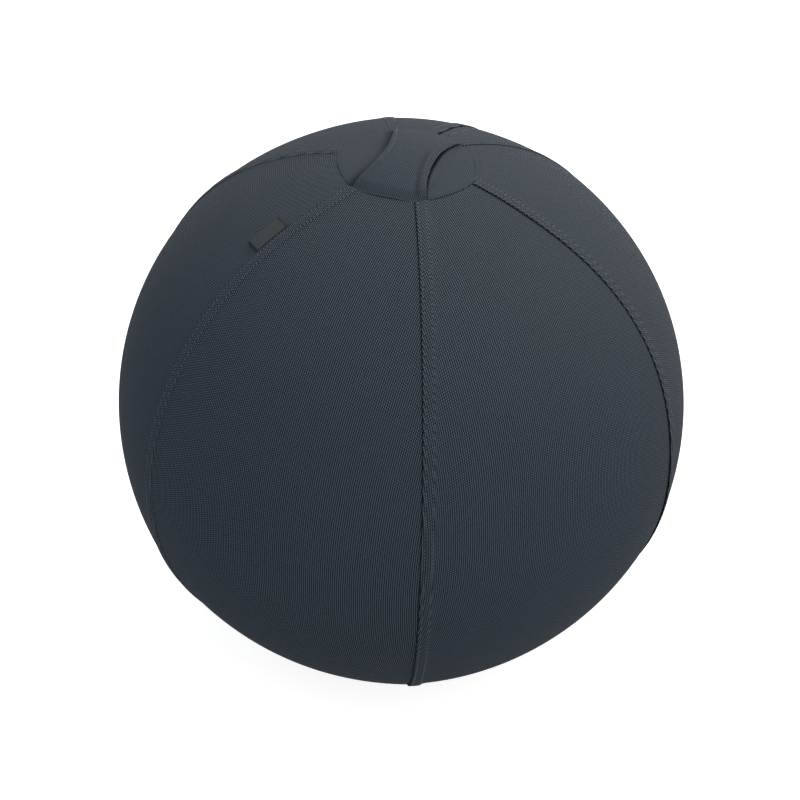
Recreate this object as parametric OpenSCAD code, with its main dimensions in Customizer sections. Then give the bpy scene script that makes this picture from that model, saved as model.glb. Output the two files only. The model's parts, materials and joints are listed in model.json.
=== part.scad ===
// Sitting ball: an inflated inner ball in a sewn fabric cover of six panels.
// A round panel closes the top, with a strap over it to carry the ball by, and a flat
// round panel closes the base, with a weighted ring inside it that stops the ball rolling.
// A zip runs down the middle of the back panel. Millimetres, +Z up. The origin is the
// middle of the flat base, and the zip is on the +Y side.

/* [Ball] */
// Diameter across the middles of two opposite panels
ball_d = 650; // [550:5:750]
// Diameter of the flat that the ball stands on
base_d = 170; // [150:2:220]
// How far each panel is curved about an axis behind the ball's own, so that seams stand proud
panel_offset = 22; // [4:1:34]

/* [Cover] */
// Thickness of the cover fabric
fabric_t = 1; // [0.8:0.1:1.4]
// Width of the lap at each seam
lap_w = 12.5; // [9:0.5:16]
// Room under a lap for the edge of the panel that it covers
lap_rise = 1; // [0.9:0.05:1.5]
// Diameter of the round top panel
cap_d = 145; // [120:1:170]
// How far the top panel stands above the middles of the side panels
cap_rise = 1; // [0:0.1:2]
// Thickness of the base panel
base_t = 1.5; // [1:0.1:2.5]

/* [Carrying strap] */
// Width of the strap where it is sewn in
strap_end_w = 82; // [70:1:95]
// Width of the strap at its waist
strap_waist_w = 59; // [45:1:66]
// Thickness of the strap
strap_t = 2; // [1.5:0.1:3]
// Room for the fingers under the middle of the strap
strap_gap = 9; // [7:0.5:14]
// How far the strap is turned from the zip's plane, anticlockwise seen from above
strap_turn = 5.5; // [0:0.5:10]

/* [Side tag] */
// Length of the tag along its seam
tag_l = 41; // [30:1:50]
// Width of the tag across its seam
tag_w = 20; // [12:0.5:24]
// Thickness of the folded tag
tag_t = 1; // [0.6:0.1:1.4]
// Angle from the top of the ball to the middle of the tag
tag_angle = 30.5; // [28:0.5:60]

/* [Zip] */
// Length of the coil rows when the zip is closed
zip_l = 580; // [450:5:630]
// Width of the two tapes together
zip_tape_w = 30; // [26:1:32]
// Thickness of a tape
zip_tape_t = 0.6; // [0.4:0.05:0.8]
// Width of the closed coil
coil_w = 6; // [5:0.1:6.4]
// Thickness of the coil
coil_t = 2.5; // [2:0.1:2.6]
// Width of the slit in the cover that the slider's bridge runs in
slit_w = 2; // [1.8:0.1:2.6]
// Length of the slider
slider_l = 12; // [10:0.5:14]
// Thickness of one plate of the slider
slider_plate_t = 1.1; // [0.8:0.1:1.4]
// Length of the pull tab from its pin
pull_l = 24; // [18:1:34]
// Width of the pull tab
pull_w = 8; // [7:0.5:10]

/* [Inner ball] */
// Wall of the inflated inner ball
inner_wall = 1; // [0.8:0.1:2]
// Diameter of the valve's flange
valve_d = 28; // [24:1:34]
// Length of the valve's stem
valve_stem_l = 13; // [10:0.5:18]
// Diameter of the hole that the plug closes
plug_hole_d = 9.3; // [7:0.1:10]

/* [Weighted ring] */
// Width of the ring
ring_w = 36; // [28:1:40]
// Distance from the base panel's seam to the ring
ring_inset = 1; // [0.5:0.5:6]
// Height of the ring
ring_h = 20; // [14:1:24]
// Wall of the ring's pouch
ring_wall = 0.8; // [0.5:0.1:1.2]

/* [Hidden] */

cover_grey = [0.23, 0.26, 0.29];
tag_grey = [0.2, 0.22, 0.21];
zip_black = [0.12, 0.12, 0.13];
metal_grey = [0.4, 0.41, 0.43];
pvc_grey = [0.55, 0.57, 0.6];
plug_white = [0.85, 0.85, 0.83];
sand_tan = [0.72, 0.64, 0.5];

// Gap between soft pieces that lie on each other
seat_gap = 0.3;
// Gap between the edges of two pieces that are sewn together
seam_gap = 0.2;
// Clearance of the parts that slide or turn
run_gap = 0.3;
// Clearance of a pin in its hole
pin_gap = 0.05;
// Overlap of shapes that are joined into one piece
joint = 0.1;
// Clearance at the sides of a flange or a slot
side_gap = 0.5;
round_fn = 240;
small_fn = 48;
far = 2 * ball_d;

ball_r = ball_d / 2;
base_r = base_d / 2;
centre_z = sqrt(ball_r * ball_r - base_r * base_r);
panel_angle = 60;
// Angle that a panel's skin is turned through before its sides are cut
panel_sweep = 96;
lap_top = lap_rise + fabric_t;
lap_reach = 3 * lap_top;

cap_r = cap_d / 2;
cap_angle = asin(cap_r / ball_r);
cap_top_r = ball_r + cap_rise;
base_inset = 2;
base_seam_r = base_r - base_inset;

// The strap is part of a dome that meets the top panel at its rim
rim_z = sqrt(cap_top_r * cap_top_r - cap_r * cap_r) + seat_gap;
strap_rise = cap_top_r + strap_gap - rim_z;
strap_dome_r = (cap_r * cap_r + strap_rise * strap_rise) / (2 * strap_rise);
strap_dome_z = rim_z + strap_rise - strap_dome_r;
scallop_depth = (strap_end_w - strap_waist_w) / 2;
strap_half_l = sqrt(cap_r * cap_r - strap_end_w * strap_end_w / 4);
scallop_r = (strap_half_l * strap_half_l + scallop_depth * scallop_depth) / (2 * scallop_depth);

// Radial places of the zip, from the ball's centre outwards
coil_gap = 0.15;
slider_room = coil_t / 2 + coil_gap;
slider_half_h = slider_room + slider_plate_t;
zip_r = ball_r - fabric_t - run_gap - slider_half_h;
degrees_per_mm = 180 / (PI * zip_r);

// The slider's plates, the flanges at their sides and the post that parts the coil rows
flange_w = 1.2;
flange_gap = 0.8;
flange_inset = 2.3;
flange_l = slider_l - 2 * flange_inset;
slider_w = coil_w + 2 * (flange_w + flange_gap);
slider_round_d = slider_l + 1.6;
tape_slot_t = zip_tape_t + 2 * seam_gap;
flange_h = slider_room + joint - tape_slot_t / 2;
post_r = 1.1;

// The zip's ends, its stops and the slit, from the top downwards
zip_cap_gap = 20;
zip_start = cap_angle + zip_cap_gap * degrees_per_mm;
zip_end = zip_start + zip_l * degrees_per_mm;
stop_l = 2.5;
stop_catch = 0.45;
stop_t = 2 * (slider_room + stop_catch);
stops_apart = 1.6;
coil_round_r = 1.75;
slider_park = zip_end;
slit_spare_l = 3;
slit_end = zip_end + (slider_l / 2 + stop_l + slit_spare_l) * degrees_per_mm;
zip_lap_t = 1.2;
hem_gap = 1.8;
hem_start = slider_w / 2 + hem_gap;

// The bridge stands on the slider, and its pin hole clears the raised side of the slit
bridge_t = slit_w - 2 * run_gap;
bridge_r = 2;
pin_r = 0.8;
pull_t = 1.2;
pin_height = ball_r + zip_lap_t - zip_r + pull_t / 2 + 2 * run_gap;
pull_slot_l = pin_height - slider_half_h + 2 * pin_r;
pull_slot_w = bridge_t + side_gap;

inner_r = ball_r - fabric_t - seat_gap;
furrow_r = 70;
furrow_depth = inner_r - (zip_r - slider_half_h) + 2 * seat_gap;

ring_r = base_seam_r - ring_inset - ring_w / 2;
ring_z = base_t + seat_gap;
ring_shoulder = 4.5;
ring_round_r = (ring_w * ring_w / 4 + ring_h * ring_h) / (2 * ring_h);
ring_round_z = ring_z + ring_h - ring_round_r;

valve_angle = 75;
valve_turn = 78;
valve_t = 1;
valve_recess = 3;
valve_reach = 4 * valve_recess;
valve_tube_wall = 3.3;
valve_tube_d = plug_hole_d + 2 * valve_tube_wall;
plug_head_d = 17;
plug_head_t = 1.3;
plug_short_l = 2;

// Places its children from the ball's centre
module at_centre() {
  translate([0, 0, centre_z]) children();
}

// Places its children on the zip's line, at an angle from the top, with +Z pointing outwards
module at_zip(angle, radius) {
  at_centre() rotate([-angle, 0, 0]) translate([0, 0, radius]) children();
}

// All that lies anticlockwise of a seam's plane, from a distance d onwards
module beyond(seam, d) {
  rotate([0, 0, seam]) translate([-far, d, -far]) cube([2 * far, far, 2 * far]);
}

// All that lies clockwise of a seam's plane, up to a distance d past it
module short_of(seam, d) {
  rotate([0, 0, seam]) translate([-far, d - far, -far]) cube([2 * far, far, 2 * far]);
}

// The curved skin of one side panel, about an axis that lies behind the ball's own
module panel_skin(mid, r_in, r_out) {
  rotate([0, 0, mid]) translate([-panel_offset, 0, 0])
    rotate_extrude(start = -panel_sweep / 2, angle = panel_sweep, $fn = round_fn)
      intersection() {
        translate([panel_offset, 0]) difference() {
          circle(r = r_out, $fn = round_fn);
          circle(r = r_in, $fn = round_fn);
        }
        translate([cap_r / 2 + panel_offset, -far]) square([far, 2 * far]);
      }
}

// Room for the top panel and the base panel, and for the floor
module panel_ends() {
  cylinder(r = cap_r + seam_gap, h = far, $fn = round_fn);
  translate([0, 0, -far]) cylinder(r = base_seam_r, h = far, $fn = round_fn);
  translate([-far, -far, -far - centre_z]) cube([2 * far, 2 * far, far]);
}

// The piece of fabric between a lapped seam and the next, with its raised lap
module side_panel(seam) {
  mid = seam + panel_angle / 2;
  at_centre() difference() {
    intersection() {
      panel_skin(mid, ball_r - fabric_t, ball_r + lap_top);
      beyond(seam, 0);
      short_of(seam + panel_angle, lap_w - fabric_t - seam_gap);
    }
    intersection() {
      panel_skin(mid, ball_r, ball_r + lap_reach);
      beyond(seam, lap_w);
    }
    intersection() {
      panel_skin(mid, ball_r - lap_reach, ball_r + lap_rise);
      short_of(seam, lap_w - fabric_t);
    }
    panel_ends();
  }
}

// A slice of the back between two angles from the top, from x = x1 to x = x2
module back_slice(x1, x2, angle1, angle2) {
  steps = 6;
  reach = [for (i = [0 : steps]) let (a = angle1 + (angle2 - angle1) * i / steps)
    [far * sin(a), far * cos(a)]];
  translate([x1, 0, 0]) rotate([90, 0, 90]) linear_extrude(x2 - x1)
    polygon(concat([[0, 0]], reach));
}

// A strip along the zip's line, cut from a thick-walled sphere
module zip_strip(r_in, r_out, x1, x2, angle1, angle2) {
  intersection() {
    difference() {
      sphere(r = r_out, $fn = round_fn);
      sphere(r = r_in, $fn = round_fn);
    }
    back_slice(x1, x2, angle1, angle2);
  }
}

// The turned-in edge that a zip tape is sewn to, on one side of the slit
module zip_hem(side) {
  r_in = zip_r + zip_tape_t / 2 + pin_gap;
  x1 = side * hem_start;
  x2 = side * zip_tape_w / 2;
  zip_strip(r_in, ball_r - fabric_t + joint, min(x1, x2), max(x1, x2), zip_start, slit_end);
}

// Half of the back panel: side 1 is clockwise of the zip, side -1 is the lapped one
module back_half(side) {
  zip_seam = 1.5 * panel_angle;
  lapped = side > 0 ? panel_angle : zip_seam;
  plain = side > 0 ? zip_seam : 2 * panel_angle;
  plain_d = side > 0 ? -seam_gap / 2 : lap_w - fabric_t - seam_gap;
  // An ordinary lap is hollow underneath, and the lap beside the zip is folded flat
  spare_in = side > 0 ? ball_r - lap_reach : ball_r + zip_lap_t;
  spare_out = side > 0 ? ball_r + lap_rise : ball_r + lap_reach;
  spare_d = side > 0 ? lap_w - fabric_t : 2 * lap_w;
  at_centre() difference() {
    union() {
      difference() {
        intersection() {
          panel_skin(zip_seam, ball_r - fabric_t, ball_r + lap_top);
          beyond(lapped, side > 0 ? 0 : seam_gap / 2);
          short_of(plain, plain_d);
        }
        intersection() {
          panel_skin(zip_seam, ball_r, ball_r + lap_reach);
          beyond(lapped, lap_w);
        }
        intersection() {
          panel_skin(zip_seam, spare_in, spare_out);
          short_of(lapped, spare_d);
        }
      }
      zip_hem(side);
    }
    back_slice(-slit_w / 2, slit_w / 2, 0, slit_end);
    panel_ends();
  }
}

module top_panel() {
  color(cover_grey) at_centre() intersection() {
    difference() {
      sphere(r = cap_top_r, $fn = round_fn);
      sphere(r = cap_top_r - fabric_t, $fn = round_fn);
    }
    cylinder(r = cap_r, h = far, $fn = round_fn);
  }
}

module base_panel() {
  color(cover_grey) cylinder(r = base_seam_r - seam_gap, h = base_t, $fn = round_fn);
}

// The strap seen from above: the top panel's round ends, with a waist cut in each side
module strap_outline() {
  difference() {
    circle(r = cap_r, $fn = round_fn);
    for (side = [-1, 1])
      translate([side * (strap_waist_w / 2 + scallop_r), 0]) circle(r = scallop_r, $fn = round_fn);
  }
}

module carrying_strap() {
  color(cover_grey) at_centre() rotate([0, 0, strap_turn]) intersection() {
    translate([0, 0, strap_dome_z]) difference() {
      sphere(r = strap_dome_r + strap_t, $fn = round_fn);
      sphere(r = strap_dome_r, $fn = round_fn);
    }
    translate([0, 0, cap_r]) linear_extrude(far) strap_outline();
  }
}

// The folded tag, sewn in under the fold of the seam at the left of the front panel
module side_tag() {
  seam = 4 * panel_angle;
  color(tag_grey) at_centre() intersection() {
    panel_skin(seam - panel_angle / 2, ball_r + seat_gap, ball_r + seat_gap + tag_t);
    rotate([0, 0, seam]) rotate([0, tag_angle, 0])
      translate([-tag_l / 2, -tag_w - seam_gap, cap_r]) cube([tag_l, tag_w, far]);
  }
}

module zip_tape(side) {
  x1 = side * (coil_w / 2 + seam_gap);
  x2 = side * zip_tape_w / 2;
  color(zip_black) at_centre() zip_strip(zip_r - zip_tape_t / 2, zip_r + zip_tape_t / 2,
    min(x1, x2), max(x1, x2), zip_start - stop_l * degrees_per_mm, slit_end);
}

// One row of the coil, drawn as its outer shape, with round edges
module zip_coil(side) {
  row_w = coil_w / 2 - pin_gap;
  color(zip_black) at_centre() rotate([0, 0, 90]) rotate([90, 0, 0])
    rotate_extrude(start = 90 - zip_end, angle = zip_end - zip_start, $fn = round_fn)
      translate([zip_r, 0]) intersection() {
        translate([-coil_t / 2, side > 0 ? pin_gap : -coil_w / 2]) square([coil_t, row_w]);
        translate([0, side * coil_w / 4]) circle(r = coil_round_r, $fn = small_fn);
      }
}

module zip_stop_upper() {
  color(metal_grey) at_zip(zip_start - (stop_l / 2 + pin_gap) * degrees_per_mm, zip_r)
    cube([coil_w, stop_l, stop_t], center = true);
}

module zip_stops_lower() {
  color(metal_grey)
    at_zip(slider_park + (slider_l / 2 + stop_l / 2 + run_gap) * degrees_per_mm, zip_r)
      for (side = [-1, 1])
        translate([side * (coil_w / 4 + stops_apart / 4), 0, 0])
          cube([(coil_w - stops_apart) / 2, stop_l, stop_t], center = true);
}

// A plate of the slider: straight sides and rounded ends
module slider_outline() {
  intersection() {
    square([slider_w, slider_l], center = true);
    circle(d = slider_round_d, $fn = small_fn);
  }
}

module zip_slider() {
  color(metal_grey) at_zip(slider_park, zip_r) difference() {
    union() {
      for (side = [-1, 1]) {
        translate([0, 0, side * (slider_half_h - slider_plate_t / 2) - slider_plate_t / 2])
          linear_extrude(slider_plate_t) slider_outline();
        for (face = [-1, 1])
          translate([side * (slider_w - flange_w) / 2, 0, face * (tape_slot_t + flange_h) / 2])
            cube([flange_w, flange_l, flange_h], center = true);
      }
      translate([0, slider_l / 4, -slider_room - joint])
        cylinder(r = post_r, h = 2 * (slider_room + joint), $fn = small_fn);
      translate([-bridge_t / 2, 0, 0]) rotate([90, 0, 90]) linear_extrude(bridge_t) {
        translate([0, pin_height]) circle(r = bridge_r, $fn = small_fn);
        translate([-bridge_r, slider_half_h - joint])
          square([2 * bridge_r, pin_height - slider_half_h + joint]);
      }
    }
    translate([-slit_w, 0, pin_height]) rotate([0, 90, 0])
      cylinder(r = pin_r + pin_gap, h = 2 * slit_w, $fn = small_fn);
  }
}

// The pull tab hangs straight down from its pin
module zip_pull_tab() {
  color(metal_grey) at_zip(slider_park, zip_r + pin_height) rotate([slider_park, 0, 0]) {
    translate([0, pull_t / 2, 0]) rotate([90, 0, 0]) linear_extrude(pull_t) difference() {
      union() {
        translate([-pull_w / 2, -pull_l + pull_w / 2]) square([pull_w, pull_l - pull_w / 2 + pin_r]);
        translate([0, -pull_l + pull_w / 2]) circle(d = pull_w, $fn = small_fn);
      }
      translate([-pull_slot_w / 2, -pull_slot_l]) square([pull_slot_w, pull_slot_l + 2 * pin_r]);
      translate([0, -pull_l + pull_w / 2]) circle(d = pull_w / 2, $fn = small_fn);
    }
    translate([-pull_slot_w / 2 - joint, 0, 0]) rotate([0, 90, 0])
      cylinder(r = pin_r, h = pull_slot_w + 2 * joint, $fn = small_fn);
  }
}

// Places its children on the inner ball's surface at the valve, with +Z pointing outwards
module at_valve() {
  at_centre() rotate([0, 0, valve_turn]) rotate([0, valve_angle, 0])
    translate([0, 0, inner_r]) children();
}

// The solid of the inner ball, drawn in by w: flat over the base and pressed in by the ring
module inner_solid(w) {
  rotate_extrude($fn = round_fn) difference() {
    intersection() {
      translate([0, centre_z]) circle(r = inner_r - w, $fn = round_fn);
      translate([0, base_t + seat_gap + w]) square([far, far]);
    }
    translate([ring_r, ring_round_z]) circle(r = ring_round_r + seat_gap + w, $fn = round_fn);
    translate([ring_r, 0]) square([far, base_t + ring_shoulder + w]);
  }
}

// The furrow that the closed zip presses into the inner ball, with round ends
module zip_furrow(w) {
  path_r = inner_r - furrow_depth + furrow_r;
  at_centre() {
    rotate([0, 0, 90]) rotate([90, 0, 0])
      rotate_extrude(start = 90 - slit_end, angle = slit_end - zip_start, $fn = round_fn)
        translate([path_r, 0]) circle(r = furrow_r + w, $fn = round_fn);
    for (angle = [zip_start, slit_end])
      rotate([-angle, 0, 0]) translate([0, 0, path_r]) sphere(r = furrow_r + side_gap + w, $fn = round_fn);
  }
}

// The inner ball drawn in by w, with the furrow and the valve's recess
module inner_shape(w) {
  difference() {
    inner_solid(w);
    zip_furrow(w);
    at_valve() translate([0, 0, -valve_recess - w])
      cylinder(d = valve_d + 2 * w, h = valve_reach + w, $fn = small_fn);
  }
}

module inner_ball() {
  color(pvc_grey) difference() {
    inner_shape(0);
    inner_shape(inner_wall);
    at_valve() translate([0, 0, -valve_reach])
      cylinder(d = valve_tube_d + 2 * pin_gap, h = 2 * valve_reach, $fn = small_fn);
  }
}

module valve_seat() {
  color(pvc_grey) at_valve() difference() {
    union() {
      translate([0, 0, -valve_recess + pin_gap])
        cylinder(d = valve_d - 2 * side_gap, h = valve_t, $fn = small_fn);
      translate([0, 0, -valve_recess + pin_gap - valve_stem_l])
        cylinder(d = valve_tube_d, h = valve_stem_l + joint, $fn = small_fn);
    }
    translate([0, 0, -valve_stem_l - 2 * valve_recess])
      cylinder(d = plug_hole_d, h = 2 * valve_stem_l, $fn = small_fn);
  }
}

module valve_plug() {
  color(plug_white) at_valve() union() {
    translate([0, 0, -valve_recess + valve_t + 2 * pin_gap])
      cylinder(d = plug_head_d, h = plug_head_t, $fn = small_fn);
    translate([0, 0, plug_short_l - valve_recess - valve_stem_l])
      cylinder(d = plug_hole_d - 2 * pin_gap, h = valve_stem_l, $fn = small_fn);
  }
}

// The ring's cross-section, drawn in by w: flat below and rounded above
module ring_section(w) {
  intersection() {
    translate([ring_r, ring_round_z]) circle(r = ring_round_r - w, $fn = small_fn * 2);
    translate([0, ring_z + w]) square([far, far]);
  }
}

module ring_pouch() {
  color(cover_grey) rotate_extrude($fn = round_fn) difference() {
    ring_section(0);
    ring_section(ring_wall);
  }
}

module ring_fill() {
  color(sand_tan) rotate_extrude($fn = round_fn) ring_section(ring_wall + pin_gap);
}

color(cover_grey) side_panel(4 * panel_angle);  // panel_front
color(cover_grey) side_panel(5 * panel_angle);  // panel_right_front
color(cover_grey) side_panel(0);  // panel_right_back
color(cover_grey) back_half(1);  // panel_back_right_half
color(cover_grey) back_half(-1);  // panel_back_left_half
color(cover_grey) side_panel(2 * panel_angle);  // panel_left_back
color(cover_grey) side_panel(3 * panel_angle);  // panel_left_front
top_panel();
base_panel();
carrying_strap();
side_tag();
zip_tape(1);  // zip_tape_right
zip_tape(-1);  // zip_tape_left
zip_coil(1);  // zip_coil_right
zip_coil(-1);  // zip_coil_left
zip_stop_upper();
zip_stops_lower();
zip_slider();
zip_pull_tab();
inner_ball();
valve_seat();
valve_plug();
ring_pouch();
ring_fill();
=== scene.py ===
"""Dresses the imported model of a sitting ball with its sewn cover.

Cloth pieces are cut flat, as grids of points that know their place between two seams, and
node trees lay them on the ball. Stitches and the zip's coil follow the same seams.
Lengths are in metres and angles in radians. The ball stands at the origin with the zip on +Y.
"""

import json
import math

import bpy
import numpy as np
from bpy.props import FloatProperty, FloatVectorProperty, PointerProperty
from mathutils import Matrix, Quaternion, Vector, noise


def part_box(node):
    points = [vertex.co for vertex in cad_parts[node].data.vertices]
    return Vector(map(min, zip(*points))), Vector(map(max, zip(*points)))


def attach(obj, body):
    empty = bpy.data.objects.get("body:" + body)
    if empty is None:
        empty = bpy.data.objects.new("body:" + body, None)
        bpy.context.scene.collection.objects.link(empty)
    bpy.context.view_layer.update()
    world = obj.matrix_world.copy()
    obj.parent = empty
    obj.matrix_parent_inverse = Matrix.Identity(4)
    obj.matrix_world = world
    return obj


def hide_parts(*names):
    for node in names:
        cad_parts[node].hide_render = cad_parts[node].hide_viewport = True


bl_info = {
    "name": "Sitting ball",
    "version": (1, 0, 0),
    "blender": (4, 5, 0),
    "location": "View3D > Sidebar > Sitting ball",
    "description": "Sews the cover, strap, tag and zip of a sitting ball round its frame",
    "category": "Object",
}

MM = 0.001

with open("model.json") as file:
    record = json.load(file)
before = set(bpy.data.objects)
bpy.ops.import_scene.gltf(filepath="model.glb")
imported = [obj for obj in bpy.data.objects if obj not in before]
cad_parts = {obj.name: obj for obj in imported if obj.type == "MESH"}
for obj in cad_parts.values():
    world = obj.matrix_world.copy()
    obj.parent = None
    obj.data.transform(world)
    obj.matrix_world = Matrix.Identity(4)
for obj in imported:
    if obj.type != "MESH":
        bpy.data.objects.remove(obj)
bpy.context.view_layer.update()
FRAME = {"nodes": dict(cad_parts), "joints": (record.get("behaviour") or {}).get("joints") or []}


def joint_place(name):
    """Where a joint's axis is at rest."""
    for joint in FRAME["joints"]:
        if joint["name"] == name:
            return Vector(joint["pos_m"])
    raise ValueError(f"the frame has no joint {name}")


def angle_down(height, radius):
    """The angle from the top at which a circle of this radius about the centre has a height."""
    return math.acos((height - CENTRE.z) / radius)


CENTRE = joint_place("zip_travel")
TOP_LOW, TOP_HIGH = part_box("top_panel")
BASE_LOW, BASE_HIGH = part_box("base_panel")
COIL_LOW, COIL_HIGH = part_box("zip_coil_right")
TAPE_LOW, TAPE_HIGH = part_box("zip_tape_right")
STRAP_LOW, STRAP_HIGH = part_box("carrying_strap")
POUCH_LOW, POUCH_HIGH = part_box("ring_pouch")

TAPE_THICKNESS = 0.6 * MM
COIL_THICKNESS = 2.5 * MM
# The zip's circle about the centre, at the middle of its tapes and of its coil, and its places on
# that circle as angles from the top
ZIP_RADIUS = (TAPE_HIGH.y + COIL_HIGH.y) / 2 - (TAPE_THICKNESS + COIL_THICKNESS) / 4
TAPE_START = angle_down(TAPE_HIGH.z, TAPE_HIGH.y)
COIL_START = angle_down(COIL_HIGH.z, COIL_HIGH.y)
COIL_END = angle_down(COIL_LOW.z, COIL_HIGH.y)
SLIT_END = angle_down(TAPE_LOW.z, TAPE_HIGH.y)


class CoverSizes(bpy.types.PropertyGroup):
    """Sizes of the sewn cover."""

    ball_radius: FloatProperty(
        name="Ball radius",
        description="Radius of the ball across the middles of its panels",
        default=TOP_HIGH.z - CENTRE.z - 1 * MM,
        unit="LENGTH",
    )
    panel_offset: FloatProperty(
        name="Panel offset",
        description="How far each panel's own axis lies behind the ball's axis",
        default=22 * MM,
        unit="LENGTH",
    )
    fabric: FloatProperty(
        name="Fabric",
        description="Thickness of one layer of the cover fabric",
        default=0.8 * MM,
        unit="LENGTH",
    )
    lap_width: FloatProperty(
        name="Lap width",
        description="Width of the lap at each seam",
        default=12.5 * MM,
        unit="LENGTH",
    )
    lap_lift: FloatProperty(
        name="Lap lift",
        description="Height of a lap's top layer above the panel, at the middle of the fabric",
        default=1.7 * MM,
        unit="LENGTH",
    )
    cap_radius: FloatProperty(
        name="Top panel radius",
        description="Radius of the round panel on top",
        default=(TOP_HIGH.x - TOP_LOW.x) / 2,
        unit="LENGTH",
    )
    base_radius: FloatProperty(
        name="Base panel radius",
        description="Radius of the round panel that the ball stands on",
        default=(BASE_HIGH.x - BASE_LOW.x) / 2,
        unit="LENGTH",
    )
    row_step: FloatProperty(
        name="Row step",
        description="Length of one mesh face down a panel",
        default=3 * MM,
        unit="LENGTH",
    )


class StrapSizes(bpy.types.PropertyGroup):
    """Sizes of the carrying strap."""

    waist: FloatProperty(
        name="Waist",
        description="Width of the strap at its middle",
        default=59 * MM,
        unit="LENGTH",
    )
    ends: FloatProperty(
        name="Ends",
        description="Width of the strap where it is sewn in",
        default=82 * MM,
        unit="LENGTH",
    )
    thickness: FloatProperty(
        name="Thickness",
        description="Thickness of the strap's layers together",
        default=2 * MM,
        unit="LENGTH",
    )
    turn: FloatProperty(
        name="Turn",
        description="Turn of the strap seen from above, from the line through the zip",
        default=math.radians(5.5),
        subtype="ANGLE",
    )
    hem: FloatProperty(
        name="Hem",
        description="Width of the hem along each side of the strap",
        default=7 * MM,
        unit="LENGTH",
    )


class TagSizes(bpy.types.PropertyGroup):
    """Sizes of the side tag."""

    top: FloatProperty(
        name="Top",
        description="Angle from the top of the ball to the tag's upper edge",
        default=math.radians(26.4),
        subtype="ANGLE",
    )
    bottom: FloatProperty(
        name="Bottom",
        description="Angle from the top of the ball to the tag's lower edge",
        default=math.radians(33.55),
        subtype="ANGLE",
    )
    width: FloatProperty(
        name="Width",
        description="Distance from the seam to the tag's fold",
        default=19 * MM,
        unit="LENGTH",
    )
    skew: FloatProperty(
        name="Skew",
        description="How far down the ball the tag's fold has slipped",
        default=math.radians(0.57),
        subtype="ANGLE",
    )
    curl: FloatProperty(
        name="Curl",
        description="How far the tag's free lower corner lifts off the cover",
        default=2.8 * MM,
        unit="LENGTH",
    )


class ZipSizes(bpy.types.PropertyGroup):
    """Sizes of the zip's coil and tapes."""

    coil_pitch: FloatProperty(
        name="Coil pitch",
        description="Distance from one turn of the coil to the next",
        default=1.5 * MM,
        unit="LENGTH",
    )
    coil_width: FloatProperty(
        name="Coil width",
        description="Width of both rows of the closed coil together",
        default=COIL_HIGH.x - COIL_LOW.x + 2.9 * MM,
        unit="LENGTH",
    )
    coil_wire: FloatProperty(
        name="Coil wire",
        description="Thickness of the nylon wire",
        default=0.62 * MM,
        unit="LENGTH",
    )
    tape_width: FloatProperty(
        name="Tape width",
        description="Width of both tapes together with the coil",
        default=2 * TAPE_HIGH.x,
        unit="LENGTH",
    )
    tape_thickness: FloatProperty(
        name="Tape thickness",
        description="Thickness of a zip tape",
        default=TAPE_THICKNESS,
        unit="LENGTH",
    )


class StitchSizes(bpy.types.PropertyGroup):
    """Sizes of the stitches."""

    pitch: FloatProperty(
        name="Pitch",
        description="Distance from one stitch to the next",
        default=4.15 * MM,
        unit="LENGTH",
    )
    length: FloatProperty(
        name="Length",
        description="Length of one stitch that shows",
        default=2.5 * MM,
        unit="LENGTH",
    )
    thread: FloatProperty(
        name="Thread",
        description="Thickness of the thread",
        default=0.62 * MM,
        unit="LENGTH",
    )


class FinishColours(bpy.types.PropertyGroup):
    """Colours of the finishes, as linear values."""

    cover: FloatVectorProperty(
        name="Cover",
        description="Cover fabric",
        default=(0.044, 0.0562, 0.0740),
        subtype="COLOR",
    )
    thread: FloatVectorProperty(
        name="Thread",
        description="Topstitching thread",
        default=(0.100, 0.126, 0.162),
        subtype="COLOR",
    )
    tag: FloatVectorProperty(
        name="Tag",
        description="Folded side tag",
        default=(0.051, 0.059, 0.068),
        subtype="COLOR",
    )
    zip: FloatVectorProperty(
        name="Zip",
        description="Zip tape and coil",
        default=(0.020, 0.022, 0.025),
        subtype="COLOR",
    )
    metal: FloatVectorProperty(
        name="Metal",
        description="Enamelled slider, pull tab and stops",
        default=(0.050, 0.052, 0.058),
        subtype="COLOR",
    )


class StageSizes(bpy.types.PropertyGroup):
    """The camera, the floor and the even light."""

    camera_distance: FloatProperty(
        name="Camera distance",
        description="Distance from the ball's centre to the camera",
        default=1.95,
        unit="LENGTH",
    )
    camera_azimuth: FloatProperty(
        name="Camera azimuth",
        description="Direction of the camera round the ball",
        default=math.radians(24.4),
        subtype="ANGLE",
    )
    camera_elevation: FloatProperty(
        name="Camera elevation",
        description="Height of the camera above the ball's centre",
        default=math.radians(39.0),
        subtype="ANGLE",
    )
    camera_roll: FloatProperty(
        name="Camera roll",
        description="How far the camera is turned about its own axis",
        default=math.radians(1.9),
        subtype="ANGLE",
    )
    camera_shift: FloatVectorProperty(
        name="Camera shift",
        description="How far the picture is moved sideways and up, as shares of its width",
        default=(-0.00125, 0.0007),
        size=2,
        precision=5,
    )
    lens: FloatProperty(
        name="Lens",
        description="Focal length on a sensor 36 mm wide, in millimetres",
        default=75.15,
    )
    floor_radius: FloatProperty(
        name="Floor radius",
        description="Radius of the pale floor",
        default=14.0,
        unit="LENGTH",
    )
    floor_colour: FloatVectorProperty(
        name="Floor colour",
        description="Colour of the floor in the light that it throws back on the ball",
        default=(0.31, 0.35, 0.38),
        subtype="COLOR",
    )
    even_strength: FloatProperty(
        name="Even light",
        description="Strength of the light that comes from all round",
        default=0.635,
    )
    even_colour: FloatVectorProperty(
        name="Even light's colour",
        description="Colour of the light that comes from all round",
        default=(0.96, 0.99, 1.0),
        subtype="COLOR",
    )


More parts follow.
